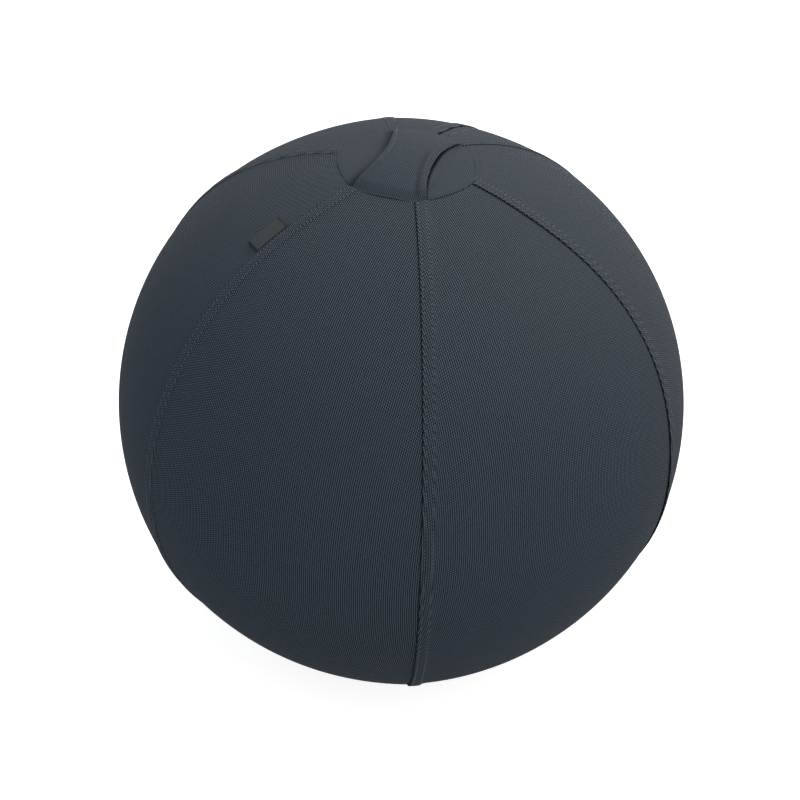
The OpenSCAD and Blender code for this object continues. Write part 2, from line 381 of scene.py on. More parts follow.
class Number:
    """A number in a node tree. Arithmetic on it adds Math nodes to the tree."""

    def __init__(self, tree, socket):
        self.tree = tree
        self.socket = socket

    def math(self, operation, *others):
        values = dict(enumerate((self, *others)))
        node = add_node(self.tree, "ShaderNodeMath", values, operation=operation)
        return Number(self.tree, node.outputs[0])

    def __add__(self, other):
        return self.math("ADD", other)

    def __sub__(self, other):
        return self.math("SUBTRACT", other)

    def __mul__(self, other):
        return self.math("MULTIPLY", other)

    def __truediv__(self, other):
        return self.math("DIVIDE", other)

    def __neg__(self):
        return self.math("MULTIPLY", -1.0)

    def __pow__(self, other):
        return self.math("POWER", other)

    def sine(self):
        return self.math("SINE")

    def cosine(self):
        return self.math("COSINE")

    def arcsine(self):
        return self.math("ARCSINE")

    def whole(self):
        return self.math("FLOOR")

    def at_least(self, other):
        return self.math("MAXIMUM", other)


def add_node(tree, kind, inputs=None, **settings):
    """Adds a node with its settings. Each input gets a link, a Number or a plain value."""
    node = tree.nodes.new(kind)
    for name, value in settings.items():
        setattr(node, name, value)
    for place, value in (inputs or {}).items():
        source = value.socket if isinstance(value, Number) else value
        if isinstance(source, bpy.types.NodeSocket):
            tree.links.new(source, node.inputs[place])
        else:
            node.inputs[place].default_value = source
    return node


def new_tree(name, numbers):
    """A geometry node tree, its group input and output nodes, and its input numbers by name."""
    tree = bpy.data.node_groups.new(name, "GeometryNodeTree")
    sockets = [("Geometry", "INPUT", "Geometry")]
    sockets += [(label, "INPUT", "Float") for label in numbers]
    sockets += [("Material", "INPUT", "Material"), ("Geometry", "OUTPUT", "Geometry")]
    for label, way, kind in sockets:
        tree.interface.new_socket(label, in_out=way, socket_type="NodeSocket" + kind)
    given = tree.nodes.new("NodeGroupInput")
    result = tree.nodes.new("NodeGroupOutput")
    return tree, given, result, {label: Number(tree, given.outputs[label]) for label in numbers}


def field(tree, name):
    """A point attribute of the flat cloth, as a number."""
    kind = "GeometryNodeInputNamedAttribute"
    node = add_node(tree, kind, {"Name": name}, data_type="FLOAT")
    return Number(tree, node.outputs["Attribute"])


def combine(tree, x, y, z):
    """The vector of three numbers."""
    return add_node(tree, "ShaderNodeCombineXYZ", {0: x, 1: y, 2: z}).outputs[0]


def round_strand(tree, curve, thickness, sides):
    """A strand of round section along a curve, closed at its ends."""
    section = {"Resolution": sides, "Radius": thickness * 0.5}
    profile = add_node(tree, "GeometryNodeCurvePrimitiveCircle", section)
    strand = add_node(tree, "GeometryNodeCurveToMesh", {
        "Curve": curve,
        "Profile Curve": profile.outputs["Curve"],
        "Fill Caps": True,
    })
    return strand.outputs["Mesh"]


def finish_tree(tree, geometry, given, result):
    """Ends a tree in Realize Instances and Set Material."""
    realize = add_node(tree, "GeometryNodeRealizeInstances", {"Geometry": geometry})
    paint = add_node(tree, "GeometryNodeSetMaterial", {
        "Geometry": realize.outputs["Geometry"],
        "Material": given.outputs["Material"],
    })
    tree.links.new(paint.outputs["Geometry"], result.inputs["Geometry"])


LAY_INPUTS = (
    "Middle", "Fold Angle", "End Angle", "Fold Rise", "End Rise",
    "Ball Radius", "Panel Offset", "Centre Height", "Floor", "Grain Turn",
)


def lay_tree():
    """Lays flat cloth on the ball between two seams, about the panel's own axis."""
    tree, given, result, value = new_tree("Lay on ball", LAY_INPUTS)
    share = field(tree, "share")
    polar = field(tree, "polar")
    rise = value["Fold Rise"] * (share * -1.0 + 1.0) ** 2 + value["End Rise"] * share**2
    radius = value["Ball Radius"] + field(tree, "lift") + rise
    offset = value["Panel Offset"]
    reach = offset + radius * polar.sine()
    fold, end = value["Fold Angle"], value["End Angle"]
    from_fold = field(tree, "from_fold") - offset * fold.sine()
    from_end = -field(tree, "from_end") - offset * end.sine()
    turn_fold = fold + (from_fold / reach).arcsine()
    turn_end = end + (from_end / reach).arcsine()
    turn = turn_fold * (share * -1.0 + 1.0) + turn_end * share
    out = reach * turn.cosine() - offset
    side = reach * turn.sine()
    middle = value["Middle"]
    x = out * middle.cosine() - side * middle.sine()
    y = out * middle.sine() + side * middle.cosine()
    z = (radius * polar.cosine() + value["Centre Height"]).at_least(value["Floor"])
    place = add_node(tree, "GeometryNodeSetPosition", {
        "Geometry": given.outputs["Geometry"],
        "Position": combine(tree, x, y, z),
    })
    across, along = reach * turn, value["Ball Radius"] * polar
    tilt = value["Grain Turn"]
    woven_x = across * tilt.cosine() + along * tilt.sine()
    woven_y = along * tilt.cosine() - across * tilt.sine()
    grain = add_node(tree, "GeometryNodeStoreNamedAttribute", {
        "Geometry": place.outputs["Geometry"],
        "Name": "grain",
        "Value": combine(tree, woven_x, woven_y, 0.0),
    }, data_type="FLOAT_VECTOR", domain="POINT")
    finish_tree(tree, grain.outputs["Geometry"], given, result)
    return tree


def needle_hole_shade(tree, pitch, thread):
    """A flat disc painted dark: painted shade of the pit between one stitch and the next."""
    corners = {"Vertices": 8, "Radius": 1.0}
    disc = add_node(tree, "GeometryNodeMeshCircle", corners, fill_type="NGON")
    # The whole disc is marked as painted shade
    dark = add_node(tree, "GeometryNodeStoreNamedAttribute", {
        "Geometry": disc.outputs["Mesh"],
        "Name": "crease",
        "Value": 1.0,
    }, data_type="FLOAT", domain="POINT")
    move = add_node(tree, "GeometryNodeTransform", {
        "Geometry": dark.outputs["Geometry"],
        "Translation": combine(tree, pitch * 0.5, 0.0, thread * 0.3),
        "Scale": combine(tree, pitch * 0.19, thread * 0.9, 1.0),
    })
    return move.outputs["Geometry"]


def one_stitch(tree, value):
    """An arched strand of thread whose ends dip into the cloth, and the painted shade of the hole
    past it.
    """
    half, slant, thread = value["Length"] * 0.5, value["Slant"], value["Thread"]
    arc = add_node(tree, "GeometryNodeCurveQuadraticBezier", {
        "Resolution": 4,
        "Start": combine(tree, -half, -slant, thread * -0.7),
        "Middle": combine(tree, 0.0, 0.0, thread * 0.9),
        "End": combine(tree, half, slant, thread * -0.7),
    })
    strand = round_strand(tree, arc.outputs["Curve"], thread, 6)
    stitch = tree.nodes.new("GeometryNodeJoinGeometry")
    for part in (needle_hole_shade(tree, value["Pitch"], thread), strand):
        tree.links.new(part, stitch.inputs["Geometry"])
    return stitch.outputs["Geometry"]


def back_to_centre(tree, tangent, centre_height):
    """The turn of a stitch that lies along its path with its back to a centre."""
    kind = "FunctionNodeAlignRotationToVector"
    along = add_node(tree, kind, {"Vector": tangent}, axis="X")
    outwards = add_node(tree, "ShaderNodeVectorMath", {
        0: tree.nodes.new("GeometryNodeInputPosition").outputs["Position"],
        1: combine(tree, 0.0, 0.0, centre_height),
    }, operation="SUBTRACT")
    upright = add_node(tree, kind, {
        "Rotation": along.outputs["Rotation"],
        "Vector": outwards.outputs["Vector"],
    }, axis="Z", pivot_axis="X")
    return upright.outputs["Rotation"]


def stitch_tree():
    """Sets stitches along a path, with their backs to a centre."""
    numbers = ("Pitch", "Length", "Thread", "Slant", "Centre Height")
    tree, given, result, value = new_tree("Stitch row", numbers)
    curve = add_node(tree, "GeometryNodeMeshToCurve", {"Mesh": given.outputs["Geometry"]})
    even = add_node(tree, "GeometryNodeResampleCurve", {
        "Curve": curve.outputs["Curve"],
        "Length": value["Pitch"],
    }, mode="LENGTH")
    course = {"Curve": even.outputs["Curve"]}
    points = add_node(tree, "GeometryNodeCurveToPoints", course, mode="EVALUATED")
    copies = add_node(tree, "GeometryNodeInstanceOnPoints", {
        "Points": points.outputs["Points"],
        "Instance": one_stitch(tree, value),
        "Rotation": back_to_centre(tree, points.outputs["Tangent"], value["Centre Height"]),
    })
    finish_tree(tree, copies.outputs["Instances"], given, result)
    return tree


def tree_named(name, maker):
    """A node tree that is made once and used by several pieces."""
    return bpy.data.node_groups.get(name) or maker()


def add_tree(piece, tree, values):
    """Adds a node modifier, with its inputs set by their identifiers."""
    modifier = piece.modifiers.new(tree.name, "NODES")
    modifier.node_group = tree
    for item in tree.interface.items_tree:
        if item.in_out == "INPUT" and item.name in values:
            modifier[item.identifier] = values[item.name]


def settle(piece):
    """Turns a piece with its modifiers into a plain mesh."""
    graph = bpy.context.evaluated_depsgraph_get()
    made = bpy.data.meshes.new_from_object(
        piece.evaluated_get(graph), preserve_all_data_layers=True, depsgraph=graph
    )
    made.name = piece.name
    piece.modifiers.clear()
    old = piece.data
    piece.data = made
    bpy.data.meshes.remove(old)
    made.shade_smooth()
    return piece


def new_piece(name, data):
    """An object at the origin: a piece, a lamp or the camera."""
    piece = bpy.data.objects.new(name, data)
    bpy.context.scene.collection.objects.link(piece)
    return piece


def grid_faces(rows, columns, round_it=False):
    """The quads of a grid of points, closed across where round_it is set."""
    index = np.arange(rows * columns).reshape(rows, columns)
    if round_it:
        index = np.concatenate([index, index[:, :1]], axis=1)
    corners = (index[:-1, :-1], index[1:, :-1], index[1:, 1:], index[:-1, 1:])
    return np.stack(corners, axis=-1).reshape(-1, 4).tolist()


def flat_cloth(name, places):
    """Flat cloth, or a flat path of one column, that carries its place on the ball."""
    rows, columns = places["polar"].shape
    mesh = bpy.data.meshes.new(name)
    across, down = np.meshgrid(np.arange(columns), np.arange(rows))
    points = np.stack([across * MM, -down * MM, across * 0.0], axis=-1).reshape(-1, 3)
    if columns == 1:
        edges = [(i, i + 1) for i in range(rows - 1)]
        mesh.from_pydata(points.tolist(), edges, [])
    else:
        mesh.from_pydata(points.tolist(), [], grid_faces(rows, columns))
    for label, values in places.items():
        numbers = np.broadcast_to(values, (rows, columns)).astype(np.float32)
        layer = mesh.attributes.new(label, "FLOAT", "POINT")
        layer.data.foreach_set("value", numbers.ravel())
    return mesh


def smooth_step(low, high, value):
    """0 below low, 1 above high, and a smooth climb between them."""
    t = np.clip((value - low) / (high - low), 0.0, 1.0)
    return t * t * (3.0 - 2.0 * t)


def bell(value, middle, spread):
    """1 at the middle, falling off on both sides of it over the spread."""
    return np.exp(-(((value - middle) / spread) ** 2))


def soft_noise(values, scale, seed):
    """Smooth noise along a row of values, from -1 to 1."""
    return np.array([noise.noise(Vector((v * scale, seed, 0.5 * seed))) for v in values])


class Seam:
    """A seam that runs from the top panel to the base, by its direction seen from above.

    press is the share of its full height that its lap keeps. Each bow is how many millimetres
    the seam lies aside, where it does so most, in degrees from the top, and its spread.
    """

    def __init__(self, azimuth, press=1.0, bows=()):
        self.azimuth = math.radians(azimuth)
        self.press = press
        self.bows = bows

    def aside(self, polar):
        """How far the seam lies to the side of its plain course at angles from the top."""
        down = np.degrees(polar)
        waves = [bow * MM * bell(down, at, spread) for bow, at, spread in self.bows]
        return sum(waves, 0.0 * down)


# Directions of the seams. They differ from even sixths by the sewing that the photo shows
SEAMS = {
    "left_front": Seam(240 - 1.4, press=0.85, bows=[(4.0, 22, 11)]),
    "front": Seam(300 - 1.05, bows=[(2.3, 24, 38)]),
    "right": Seam(360 + 2.2, press=0.42, bows=[(-6.5, 24, 17), (-16.0, 88, 22)]),
    "right_back": Seam(60 + 1.9, press=0.12),
    "zip": Seam(90, press=0.5),
    "left_back": Seam(120 + 1.8, press=0.12),
    "left": Seam(180 + 0.4, press=0.8),
}
# How far the cloth of each panel is turned from its middle line, in degrees
GRAIN_TURNS = {
    "panel_front": 0.0,
    "panel_right_front": 6.0,
    "panel_right_back": 6.0,
    "panel_back_right_half": -4.0,
    "panel_back_left_half": 4.0,
    "panel_left_back": -8.0,
    "panel_left_front": 20.0,
}
# Each panel lies between its fold seam and its end seam
PANELS = {
    "panel_front": ("left_front", "front"),
    "panel_right_front": ("front", "right"),
    "panel_right_back": ("right", "right_back"),
    "panel_back_right_half": ("right_back", "zip"),
    "panel_back_left_half": ("zip", "left_back"),
    "panel_left_back": ("left_back", "left"),
    "panel_left_front": ("left", "left_front"),
}


def panel_angles(panel):
    """The middle of a panel, and its seams measured from that middle."""
    fold, end = (SEAMS[name].azimuth for name in PANELS[panel])
    if end < fold:
        end += 2 * math.pi
    middle = (fold + end) / 2
    if "zip" in PANELS[panel]:
        middle = SEAMS["zip"].azimuth
    return middle, fold - middle, end - middle


# Half of the angle between the seams of an even panel
EVEN_HALF = math.radians(30)
# The least height of the cloth over the floor
FLOOR_GAP = 0.4 * MM


def seam_radius(sizes, angle):
    """Distance from the ball's axis to a panel at the equator, at an angle from its middle."""
    reach = sizes.ball_radius + sizes.panel_offset
    across = sizes.panel_offset * math.sin(angle)
    return math.sqrt(reach**2 - across**2) - sizes.panel_offset * math.cos(angle)


def seam_rise(sizes, angle):
    """How far cloth is lifted at a seam to meet its neighbour. The zip's seam, at 0, needs none."""
    return 0.0 if angle == 0 else seam_radius(sizes, EVEN_HALF) - seam_radius(sizes, angle)


def lay_values(sizes, panel, material):
    """Inputs that lay cloth on the ball as part of one panel."""
    middle, fold, end = panel_angles(panel)
    return {
        "Middle": middle,
        "Fold Angle": fold,
        "End Angle": end,
        "Fold Rise": seam_rise(sizes, fold),
        "End Rise": seam_rise(sizes, end),
        "Ball Radius": sizes.ball_radius,
        "Panel Offset": sizes.panel_offset,
        "Centre Height": CENTRE.z,
        "Floor": FLOOR_GAP,
        "Grain Turn": math.radians(GRAIN_TURNS[panel]),
        "Material": material,
    }


# Edges of the panels in section, as distances from the seam and lifts, both in millimetres.
# Each dip of the cloth is a row of stitches
LAP_HIDDEN = (2.5, 6.5, 9.5, 11.3)
LAP_CREST = (
    (1.1, 0.0), (1.9, 0.05), (2.6, -0.3), (3.3, 0.02), (4.6, 0.12), (6.4, 0.12),
    (8.2, 0.08), (9.6, 0.0), (10.5, -0.42), (11.3, -0.12), (12.1, -0.25), (12.5, -0.8),
)
ZIP_HEM_HIDDEN = (1.0, 5.0, 9.0, 11.0)
ZIP_HEM = (
    (1.6, 0.0), (3.0, 0.0), (5.0, 0.0), (7.5, 0.0), (9.2, 0.0), (10.0, -0.35), (10.8, 0.0),
)
TUCKED_EDGE = (
    (14, 0), (10, 0), (7, 0), (4.5, 0), (2.8, 0), (1.7, -0.1), (0.9, -0.4), (0.2, -0.8),
    (-0.8, -0.9), (-3.0, -0.3), (-7, 0), (-10.5, 0),
)
ZIP_EDGE = (
    (14, 0), (12, 0), (11, 0), (10.4, -0.12), (10, -0.35), (9.6, -0.12), (9, 0),
    (6, 0), (3, 0), (1.2, 0.02), (0.5, -0.06), (0.12, -0.2), (0.0, -0.35),
)
# Height of the top of the zip's hem over its hidden edge
ZIP_HEM_HEIGHT = 1.2 * MM
# How the cloth falls past a lap, as distances past it in millimetres and shares of its height
LAP_FALL = ((0.6, 0.4), (1.6, 0.28), (3.0, 0.16), (5.0, 0.06), (7.5, 0.0), (9.5, 0.0))
ZIP_HEM_FALL = ((0.4, 0.7), (1.4, 0.36), (2.6, 0.12), (4.5, 0.03), (7.0, 0.0), (9.0, 0.0))
# Radius of the fold at the edge of a lap, and how much painted shade each point round it takes
FOLD_RADIUS = 0.45 * MM
FOLD_POINTS = 6
FOLD_SHADE = (1.0, 0.8, 0.4, 0.1)
# How far a lap's painted shade reaches over its neighbour, and how much of it is left at a flat lap
SHADE_REACH = 1.7 * MM
FLAT_SHADE = 0.12


def arc_points(centre, radius, first, last, count):
    """Points of an arc in a section, as (distance, lift) pairs."""
    angles = np.radians(np.linspace(first, last, count))
    return [(centre[0] + radius * math.cos(a), centre[1] + radius * math.sin(a)) for a in angles]


def fall(course, width, top, level):
    """The slope from a lap's edge down to the panel."""
    return [(width + d * MM, level + share * (top - level)) for d, share in course]


def lap_section(sizes, press):
    """The fold, its hidden edge and the top of a lap, as distances from the fold and lifts."""
    top = sizes.lap_lift * press
    roll = FOLD_RADIUS * press
    width = sizes.lap_width
    stretch = width / (LAP_CREST[-1][0] * MM)
    hidden = [(width - d * MM, top - 2 * roll) for d in LAP_HIDDEN]
    fold = arc_points((roll, top - roll), roll, 270, 90, FOLD_POINTS)
    crest = [(d * MM * stretch, top + lift * MM) for d, lift in LAP_CREST]
    return hidden + fold + crest + fall(LAP_FALL, width, top, -sizes.fabric / 2)


def zip_lap_section(sizes):
    """The flat hem on the lapped side of the zip's slit."""
    level = -sizes.fabric / 2
    top = level + ZIP_HEM_HEIGHT
    roll = (top - level) / 2
    width = sizes.lap_width
    hidden = [(width - d * MM, level) for d in ZIP_HEM_HIDDEN]
    fold = arc_points((roll, level + roll), roll, 270, 90, FOLD_POINTS)
    flat = [(d * MM, top + lift * MM) for d, lift in ZIP_HEM] + [(width - 0.6 * MM, top)]
    return hidden + fold + flat + fall(ZIP_HEM_FALL, width, top, level)


def tuck_section(sizes, press):
    """The edge of a panel that runs in under its neighbour's lap, with a groove beside it."""
    deep = 0.25 + 0.75 * press
    return [(d * MM, deep * lift * MM - sizes.fabric / 2) for d, lift in TUCKED_EDGE]


def zip_edge_section(sizes):
    """The plain edge beside the zip's slit, with the row of stitches that holds its tape."""
    return [(d * MM, lift * MM - sizes.fabric / 2) for d, lift in ZIP_EDGE]


def painted_shade_columns(name, from_end, share):
    """How much painted shade each column of a panel takes from a fold, from 0 to 1."""
    presses = (SEAMS[seam].press for seam in PANELS[name])
    fold, end = (FLAT_SHADE + (1 - FLAT_SHADE) * press**2 for press in presses)
    shade = np.where(share == 1, end * (1.0 - smooth_step(0.0, SHADE_REACH, from_end)), 0.0)
    if PANELS[name][0] != "zip":
        hidden = len(LAP_HIDDEN)
        shade[:hidden] = 1.0
        shade[hidden:hidden + len(FOLD_SHADE)] = fold * np.array(FOLD_SHADE)
    return shade


# The zip's slit: half its width, and the angles over which it opens at its upper end and closes
SLIT_HALF_WIDTH = 0.85 * MM
SLIT_OPENS = 0.012
SLIT_CLOSES = 0.02


def slit_opening(polar):
    """Half the width of the zip's slit at an angle from the top, which closes at its ends."""
    start = angle_down(TOP_LOW.z, ZIP_RADIUS)
    opened = SLIT_HALF_WIDTH * smooth_step(start, start + SLIT_OPENS, polar)
    return opened * (1.0 - smooth_step(SLIT_END - SLIT_CLOSES, SLIT_END, polar))


# How much higher the top panel's seam and the base's lie at the middle of a panel
SEAM_CROWN = 2.3 * MM
# Where the top panel's seam is pulled out of round: a direction and a spread in degrees, and
# how far
RIM_PULLS = ((180, 28, 5.8 * MM), (280, 24, -3.2 * MM), (356, 18, 2.0 * MM))
# How far that seam lies past the panel's own rim, how much straighter its sides are than a
# circle's, and how far the whole of it lies aside, in which direction
RIM_PAST = 1.0 * MM
RIM_STRAIGHTER = 0.3
RIM_SHIFT = 1.8 * MM
RIM_SHIFT_WAY = math.radians(204)


def rim_radius(sizes, azimuth):
    """Radius of the top panel's seam in a direction. Its sides are straighter than a circle's."""
    pulled = sizes.cap_radius + RIM_PAST
    for middle, spread, pull in RIM_PULLS:
        aside = (np.degrees(azimuth) - middle + 180.0) % 360.0 - 180.0
        pulled = pulled + pull * bell(aside, 0.0, spread)
    corners = np.array([seam.azimuth for name, seam in SEAMS.items() if name != "zip"])
    gap = (np.asarray(azimuth)[..., None] - corners + math.pi) % (2 * math.pi) - math.pi
    gap = np.minimum(np.abs(gap).min(axis=-1), EVEN_HALF)
    straighter = RIM_STRAIGHTER * (math.cos(EVEN_HALF) / np.cos(EVEN_HALF - gap) - 1.0)
    shift = RIM_SHIFT * np.cos(azimuth - RIM_SHIFT_WAY)
    return sizes.cap_radius * straighter + pulled + shift


def rim_start(sizes, azimuth):
    """The angle from the top of the ball to the top panel's seam in a direction."""
    return np.arcsin(rim_radius(sizes, azimuth) / sizes.ball_radius)


# How far a panel runs in under the top panel, and how deep its edge lies there. It rises and comes
# out of its painted shade between two distances past the rim
UNDER_RIM = 5 * MM
UNDER_DEPTH = 1.2 * MM
UNDER_RISE = (-1.4 * MM, 0.9 * MM)
UNDER_SHADE = (-1.2 * MM, 0.9 * MM)
# How far a panel's lower edge lies past the base panel's rim
FOOT_PAST = 0.8 * MM
# How far a panel's closely set rows reach from its upper edge, and how close they lie
FINE_ROWS = 14 * MM
FINE_STEP = 0.9 * MM
# Columns over the middle of a whole panel and of a half one
WHOLE_COLUMNS = 34
HALF_COLUMNS = 18
# The small waves that the stitches pull into a seam: how close they follow each other, their
# height, and at what distance from a lap's fold and from a tucked edge they lie and how wide
PUCKER_SCALE = 75.0
PUCKER_HEIGHT = 0.22 * MM
LAP_PUCKERS = (8 * MM, 11 * MM)
EDGE_PUCKERS = (2 * MM, 9 * MM)
# The slow waves over the middle of a panel: how close they follow each other, and their height
SWELL_SCALE = 9.0
SWELL_HEIGHT = 0.5 * MM


def panel_rows(sizes, across, azimuth):
    """Angles from the top for each row and column of a panel, and the rim's own angle."""
    crown = SEAM_CROWN * across**2
    rim = np.arcsin((rim_radius(sizes, azimuth) - crown) / sizes.ball_radius)
    start = rim - UNDER_RIM / sizes.ball_radius
    foot = sizes.base_radius + FOOT_PAST - crown
    end = math.pi - np.arcsin(foot / sizes.ball_radius)
    length = float(np.mean(end - start)) * sizes.ball_radius
    near = np.arange(0.0, FINE_ROWS, FINE_STEP)
    far = np.arange(FINE_ROWS, length, sizes.row_step)
    along = np.append(np.concatenate([near, far]), length) / length
    polar = start + (end - start) * along[:, None]
    return polar, np.broadcast_to(rim, polar.shape)


def panel_seed(name):
    """A number that makes each panel's folds its own."""
    return 3.0 + 7.0 * list(PANELS).index(name)


def pucker_down(name, along):
    """Height of the small waves that the stitches pull into a seam, by distance down it."""
    return soft_noise(along, PUCKER_SCALE, panel_seed(name)) * PUCKER_HEIGHT


def panel_section(name, sizes):
    """Columns across a panel: distances from its seams, shares of the way over, and lifts."""
    fold_seam, end_seam = PANELS[name]
    if fold_seam == "zip":
        fold_part = zip_lap_section(sizes)
    else:
        fold_part = lap_section(sizes, SEAMS[fold_seam].press)
    if end_seam == "zip":
        end_part = zip_edge_section(sizes)
    else:
        end_part = tuck_section(sizes, SEAMS[end_seam].press)
    between = WHOLE_COLUMNS
    if "zip" in PANELS[name]:
        fold_part, end_part, between = fold_part[:-2], end_part[1:], HALF_COLUMNS
    fold_away, fold_lift = np.transpose(fold_part)
    end_away, end_lift = np.transpose(end_part)
    from_fold = np.append(fold_away, [fold_away[-1]] * (between + len(end_away)))
    from_end = np.append([end_away[0]] * (len(fold_away) + between), end_away)
    shares = np.linspace(0.0, 1.0, between + 2)[1:-1]
    share = np.concatenate([0 * fold_away, shares, 0 * end_away + 1])
    level = -sizes.fabric / 2
    lift = np.concatenate([fold_lift, 0 * shares + level, end_lift])
    return from_fold, from_end, share, lift


def panel_across(name, sizes, from_fold, from_end, share):
    """Places of a panel's columns, from -1 at one seam to 1 at the other and 0 at its middle."""
    fold_seam, end_seam = PANELS[name]
    low = -1.0 if fold_seam != "zip" else 0.0
    high = 1.0 if end_seam != "zip" else 0.0
    rim_width = sizes.cap_radius / (2 if "zip" in PANELS[name] else 1)
    left = low + (high - low) * from_fold / rim_width
    right = high - (high - low) * from_end / rim_width
    return np.clip(left * (1 - share) + right * share, -1.0, 1.0)


def panel_waves(name, sizes, polar, from_fold, from_end, share):
    """Heights of the puckers beside a panel's seams and of the slow waves over its middle."""
    on_fold, on_end = share == 0, share == 1
    along = polar[:, on_fold.sum()] * sizes.ball_radius
    near_fold = bell(from_fold, *LAP_PUCKERS) * on_fold
    near_end = bell(from_end, *EDGE_PUCKERS) * on_end
    hidden = on_fold & (np.arange(len(share)) < len(LAP_HIDDEN))
    ripple = pucker_down(name, along)[:, None] * (near_fold + near_end * 0.5) * ~hidden
    swell = soft_noise(along, SWELL_SCALE, panel_seed(name) + 5) * SWELL_HEIGHT
    return ripple + swell[:, None] * np.sin(math.pi * share) ** 2


def cut_panel(name, sizes):
    """Cuts one panel flat, with its lap on one side and its tucked edge on the other."""
    fold_seam, end_seam = PANELS[name]
    from_fold, from_end, share, lift = panel_section(name, sizes)
    across = panel_across(name, sizes, from_fold, from_end, share)
    middle, fold, end = panel_angles(name)
    polar, rim = panel_rows(sizes, across, middle + across * max(-fold, end))
    past_rim = (polar - rim) * sizes.ball_radius
    raised = smooth_step(*UNDER_RISE, past_rim)
    sunk = 1.0 - smooth_step(*UNDER_SHADE, past_rim)
    level = -sizes.fabric / 2
    lift = level + (lift - level) * raised - UNDER_DEPTH * sunk
    lift = lift + panel_waves(name, sizes, polar, from_fold, from_end, share) * raised
    # Painted shade in and beside the folds of the laps, and in the groove where the panel runs in
    # under the top panel
    shade = np.maximum(painted_shade_columns(name, from_end, share), 0.4 * sunk)
    opening = slit_opening(polar)
    from_fold = from_fold + (opening if fold_seam == "zip" else SEAMS[fold_seam].aside(polar))
    from_end = from_end + (opening if end_seam == "zip" else -SEAMS[end_seam].aside(polar))
    places = {"from_fold": from_fold, "from_end": from_end, "share": share, "polar": polar,
              "lift": lift, "crease": shade}
    return flat_cloth(name + "_cloth", places)


def lay(piece, sizes, panel, material):
    """Lays a flat piece on the ball as part of one panel."""
    tree = tree_named("Lay on ball", lay_tree)
    add_tree(piece, tree, lay_values(sizes, panel, material))


def thicken(piece, thickness):
    """Gives a single layer of cloth its thickness, half to each side."""
    wall = piece.modifiers.new("Fabric", "SOLIDIFY")
    wall.thickness = thickness
    wall.offset = 0.0


# How close the points of a path of stitches lie, and how much of a seam's puckers they follow
PATH_STEP = 2 * MM
STITCH_PUCKERS = 0.85


def add_stitches(piece, context, material, centre_height=CENTRE.z, **changes):
    """Sews stitches along the path of a piece, with their backs to a point on the ball's axis."""
    sizes = context.scene.ball_stitches
    values = {
        "Pitch": sizes.pitch,
        "Length": sizes.length,
        "Thread": sizes.thread,
        "Slant": 0.0,
        "Centre Height": centre_height,
        "Material": material,
        **changes,
    }
    add_tree(piece, tree_named("Stitch row", stitch_tree), values)
    return settle(piece)


def seam_row(name, context, panel, side, distance, lift, angles, material):
    """A row of stitches down a panel, at a distance from its fold seam or its end seam."""
    sizes = context.scene.ball_cover
    polar = np.arange(*angles, PATH_STEP / sizes.ball_radius)[:, None]
    if side in zip_sides(panel):
        away = distance + slit_opening(polar)
    else:
        away = distance + SEAMS[PANELS[panel][0]].aside(polar)
        pucker = pucker_down(panel, polar[:, 0] * sizes.ball_radius)
        lift = lift + pucker[:, None] * STITCH_PUCKERS
    places = {
        "from_fold": away,
        "from_end": away,
        "share": np.full_like(polar, 0.0 if side == "fold" else 1.0),
        "polar": polar,
        "lift": lift + 0.0 * polar,
    }
    piece = new_piece(name, flat_cloth(name, places))
    lay(piece, sizes, panel, material)
    return add_stitches(piece, context, material)


def zip_sides(panel):
    """Which sides of a panel lie along the zip."""
    fold, end = PANELS[panel]
    return [side for side, seam in (("fold", fold), ("end", end)) if seam == "zip"]


def join(name, pieces):
    """Joins meshes at the origin into one piece."""
    keep = pieces[0]
    if len(pieces) > 1:
        with bpy.context.temp_override(
            active_object=keep,
            object=keep,
            selected_objects=pieces,
            selected_editable_objects=pieces,
        ):
            bpy.ops.object.join()
    keep.name = name
    keep.data.name = name
    return keep


def put(piece, body, slot, *nodes):
    """Rides a piece on a body and hides the nodes that it stands for. The slot is not used."""
    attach(piece, body)
    if nodes:
        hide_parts(*nodes)


def dress(node, material):
    """Paints a node of the frame."""
    part = FRAME["nodes"][node]
    part.data.materials.clear()
    part.data.materials.append(material)


def turned_cloth(name, profile, segments, closed_ends):
    """Cloth turned about the ball's axis from (radius, height) pairs.

    closed_ends is 0 for a closed ring, 1 to fill the first circle and 2 to fill both.
    """
    mesh = bpy.data.meshes.new(name)
    angles = np.linspace(0.0, 2 * math.pi, segments, endpoint=False)
    radius = np.array([r for r, _ in profile])[:, None]
    height = np.array([z for _, z in profile])[:, None]
    points = np.stack(
        [radius * np.cos(angles), radius * np.sin(angles), height + 0.0 * angles], axis=-1
    ).reshape(-1, 3)
    faces = grid_faces(len(profile), segments, round_it=True)
    last = (len(profile) - 1) * segments
    if closed_ends == 0:
        faces += [
            (last + i, i, (i + 1) % segments, last + (i + 1) % segments) for i in range(segments)
        ]
    if closed_ends > 0:
        faces.append(list(range(segments)))
    if closed_ends > 1:
        faces.append(list(range(last + segments - 1, last - 1, -1)))
    mesh.from_pydata(points.tolist(), [], faces)
    store_grain(mesh, points[:, 0], points[:, 1])
    return mesh


def store_grain(mesh, across, along):
    """Stores where each point lies on the woven cloth."""
    layer = mesh.attributes.new("grain", "FLOAT_VECTOR", "POINT")
    grain = np.stack([across, along, np.zeros(len(across))], axis=-1)
    layer.data.foreach_set("vector", grain.astype(np.float32).ravel())


def store_painted_shade(mesh, shade):
    """Stores how much shade is painted at each point, from 0 to 1."""
    layer = mesh.attributes.new("crease", "FLOAT", "POINT")
    layer.data.foreach_set("value", np.asarray(shade, np.float32))


def ring_of_stitches(name, context, radii, heights, angles, material):
    """Stitches along an arc about the ball's axis, by its radius and height at angles."""
    points = np.stack([radii * np.cos(angles), radii * np.sin(angles), heights], axis=-1)
    return path_of_stitches(name, context, points.tolist(), CENTRE.z, material)


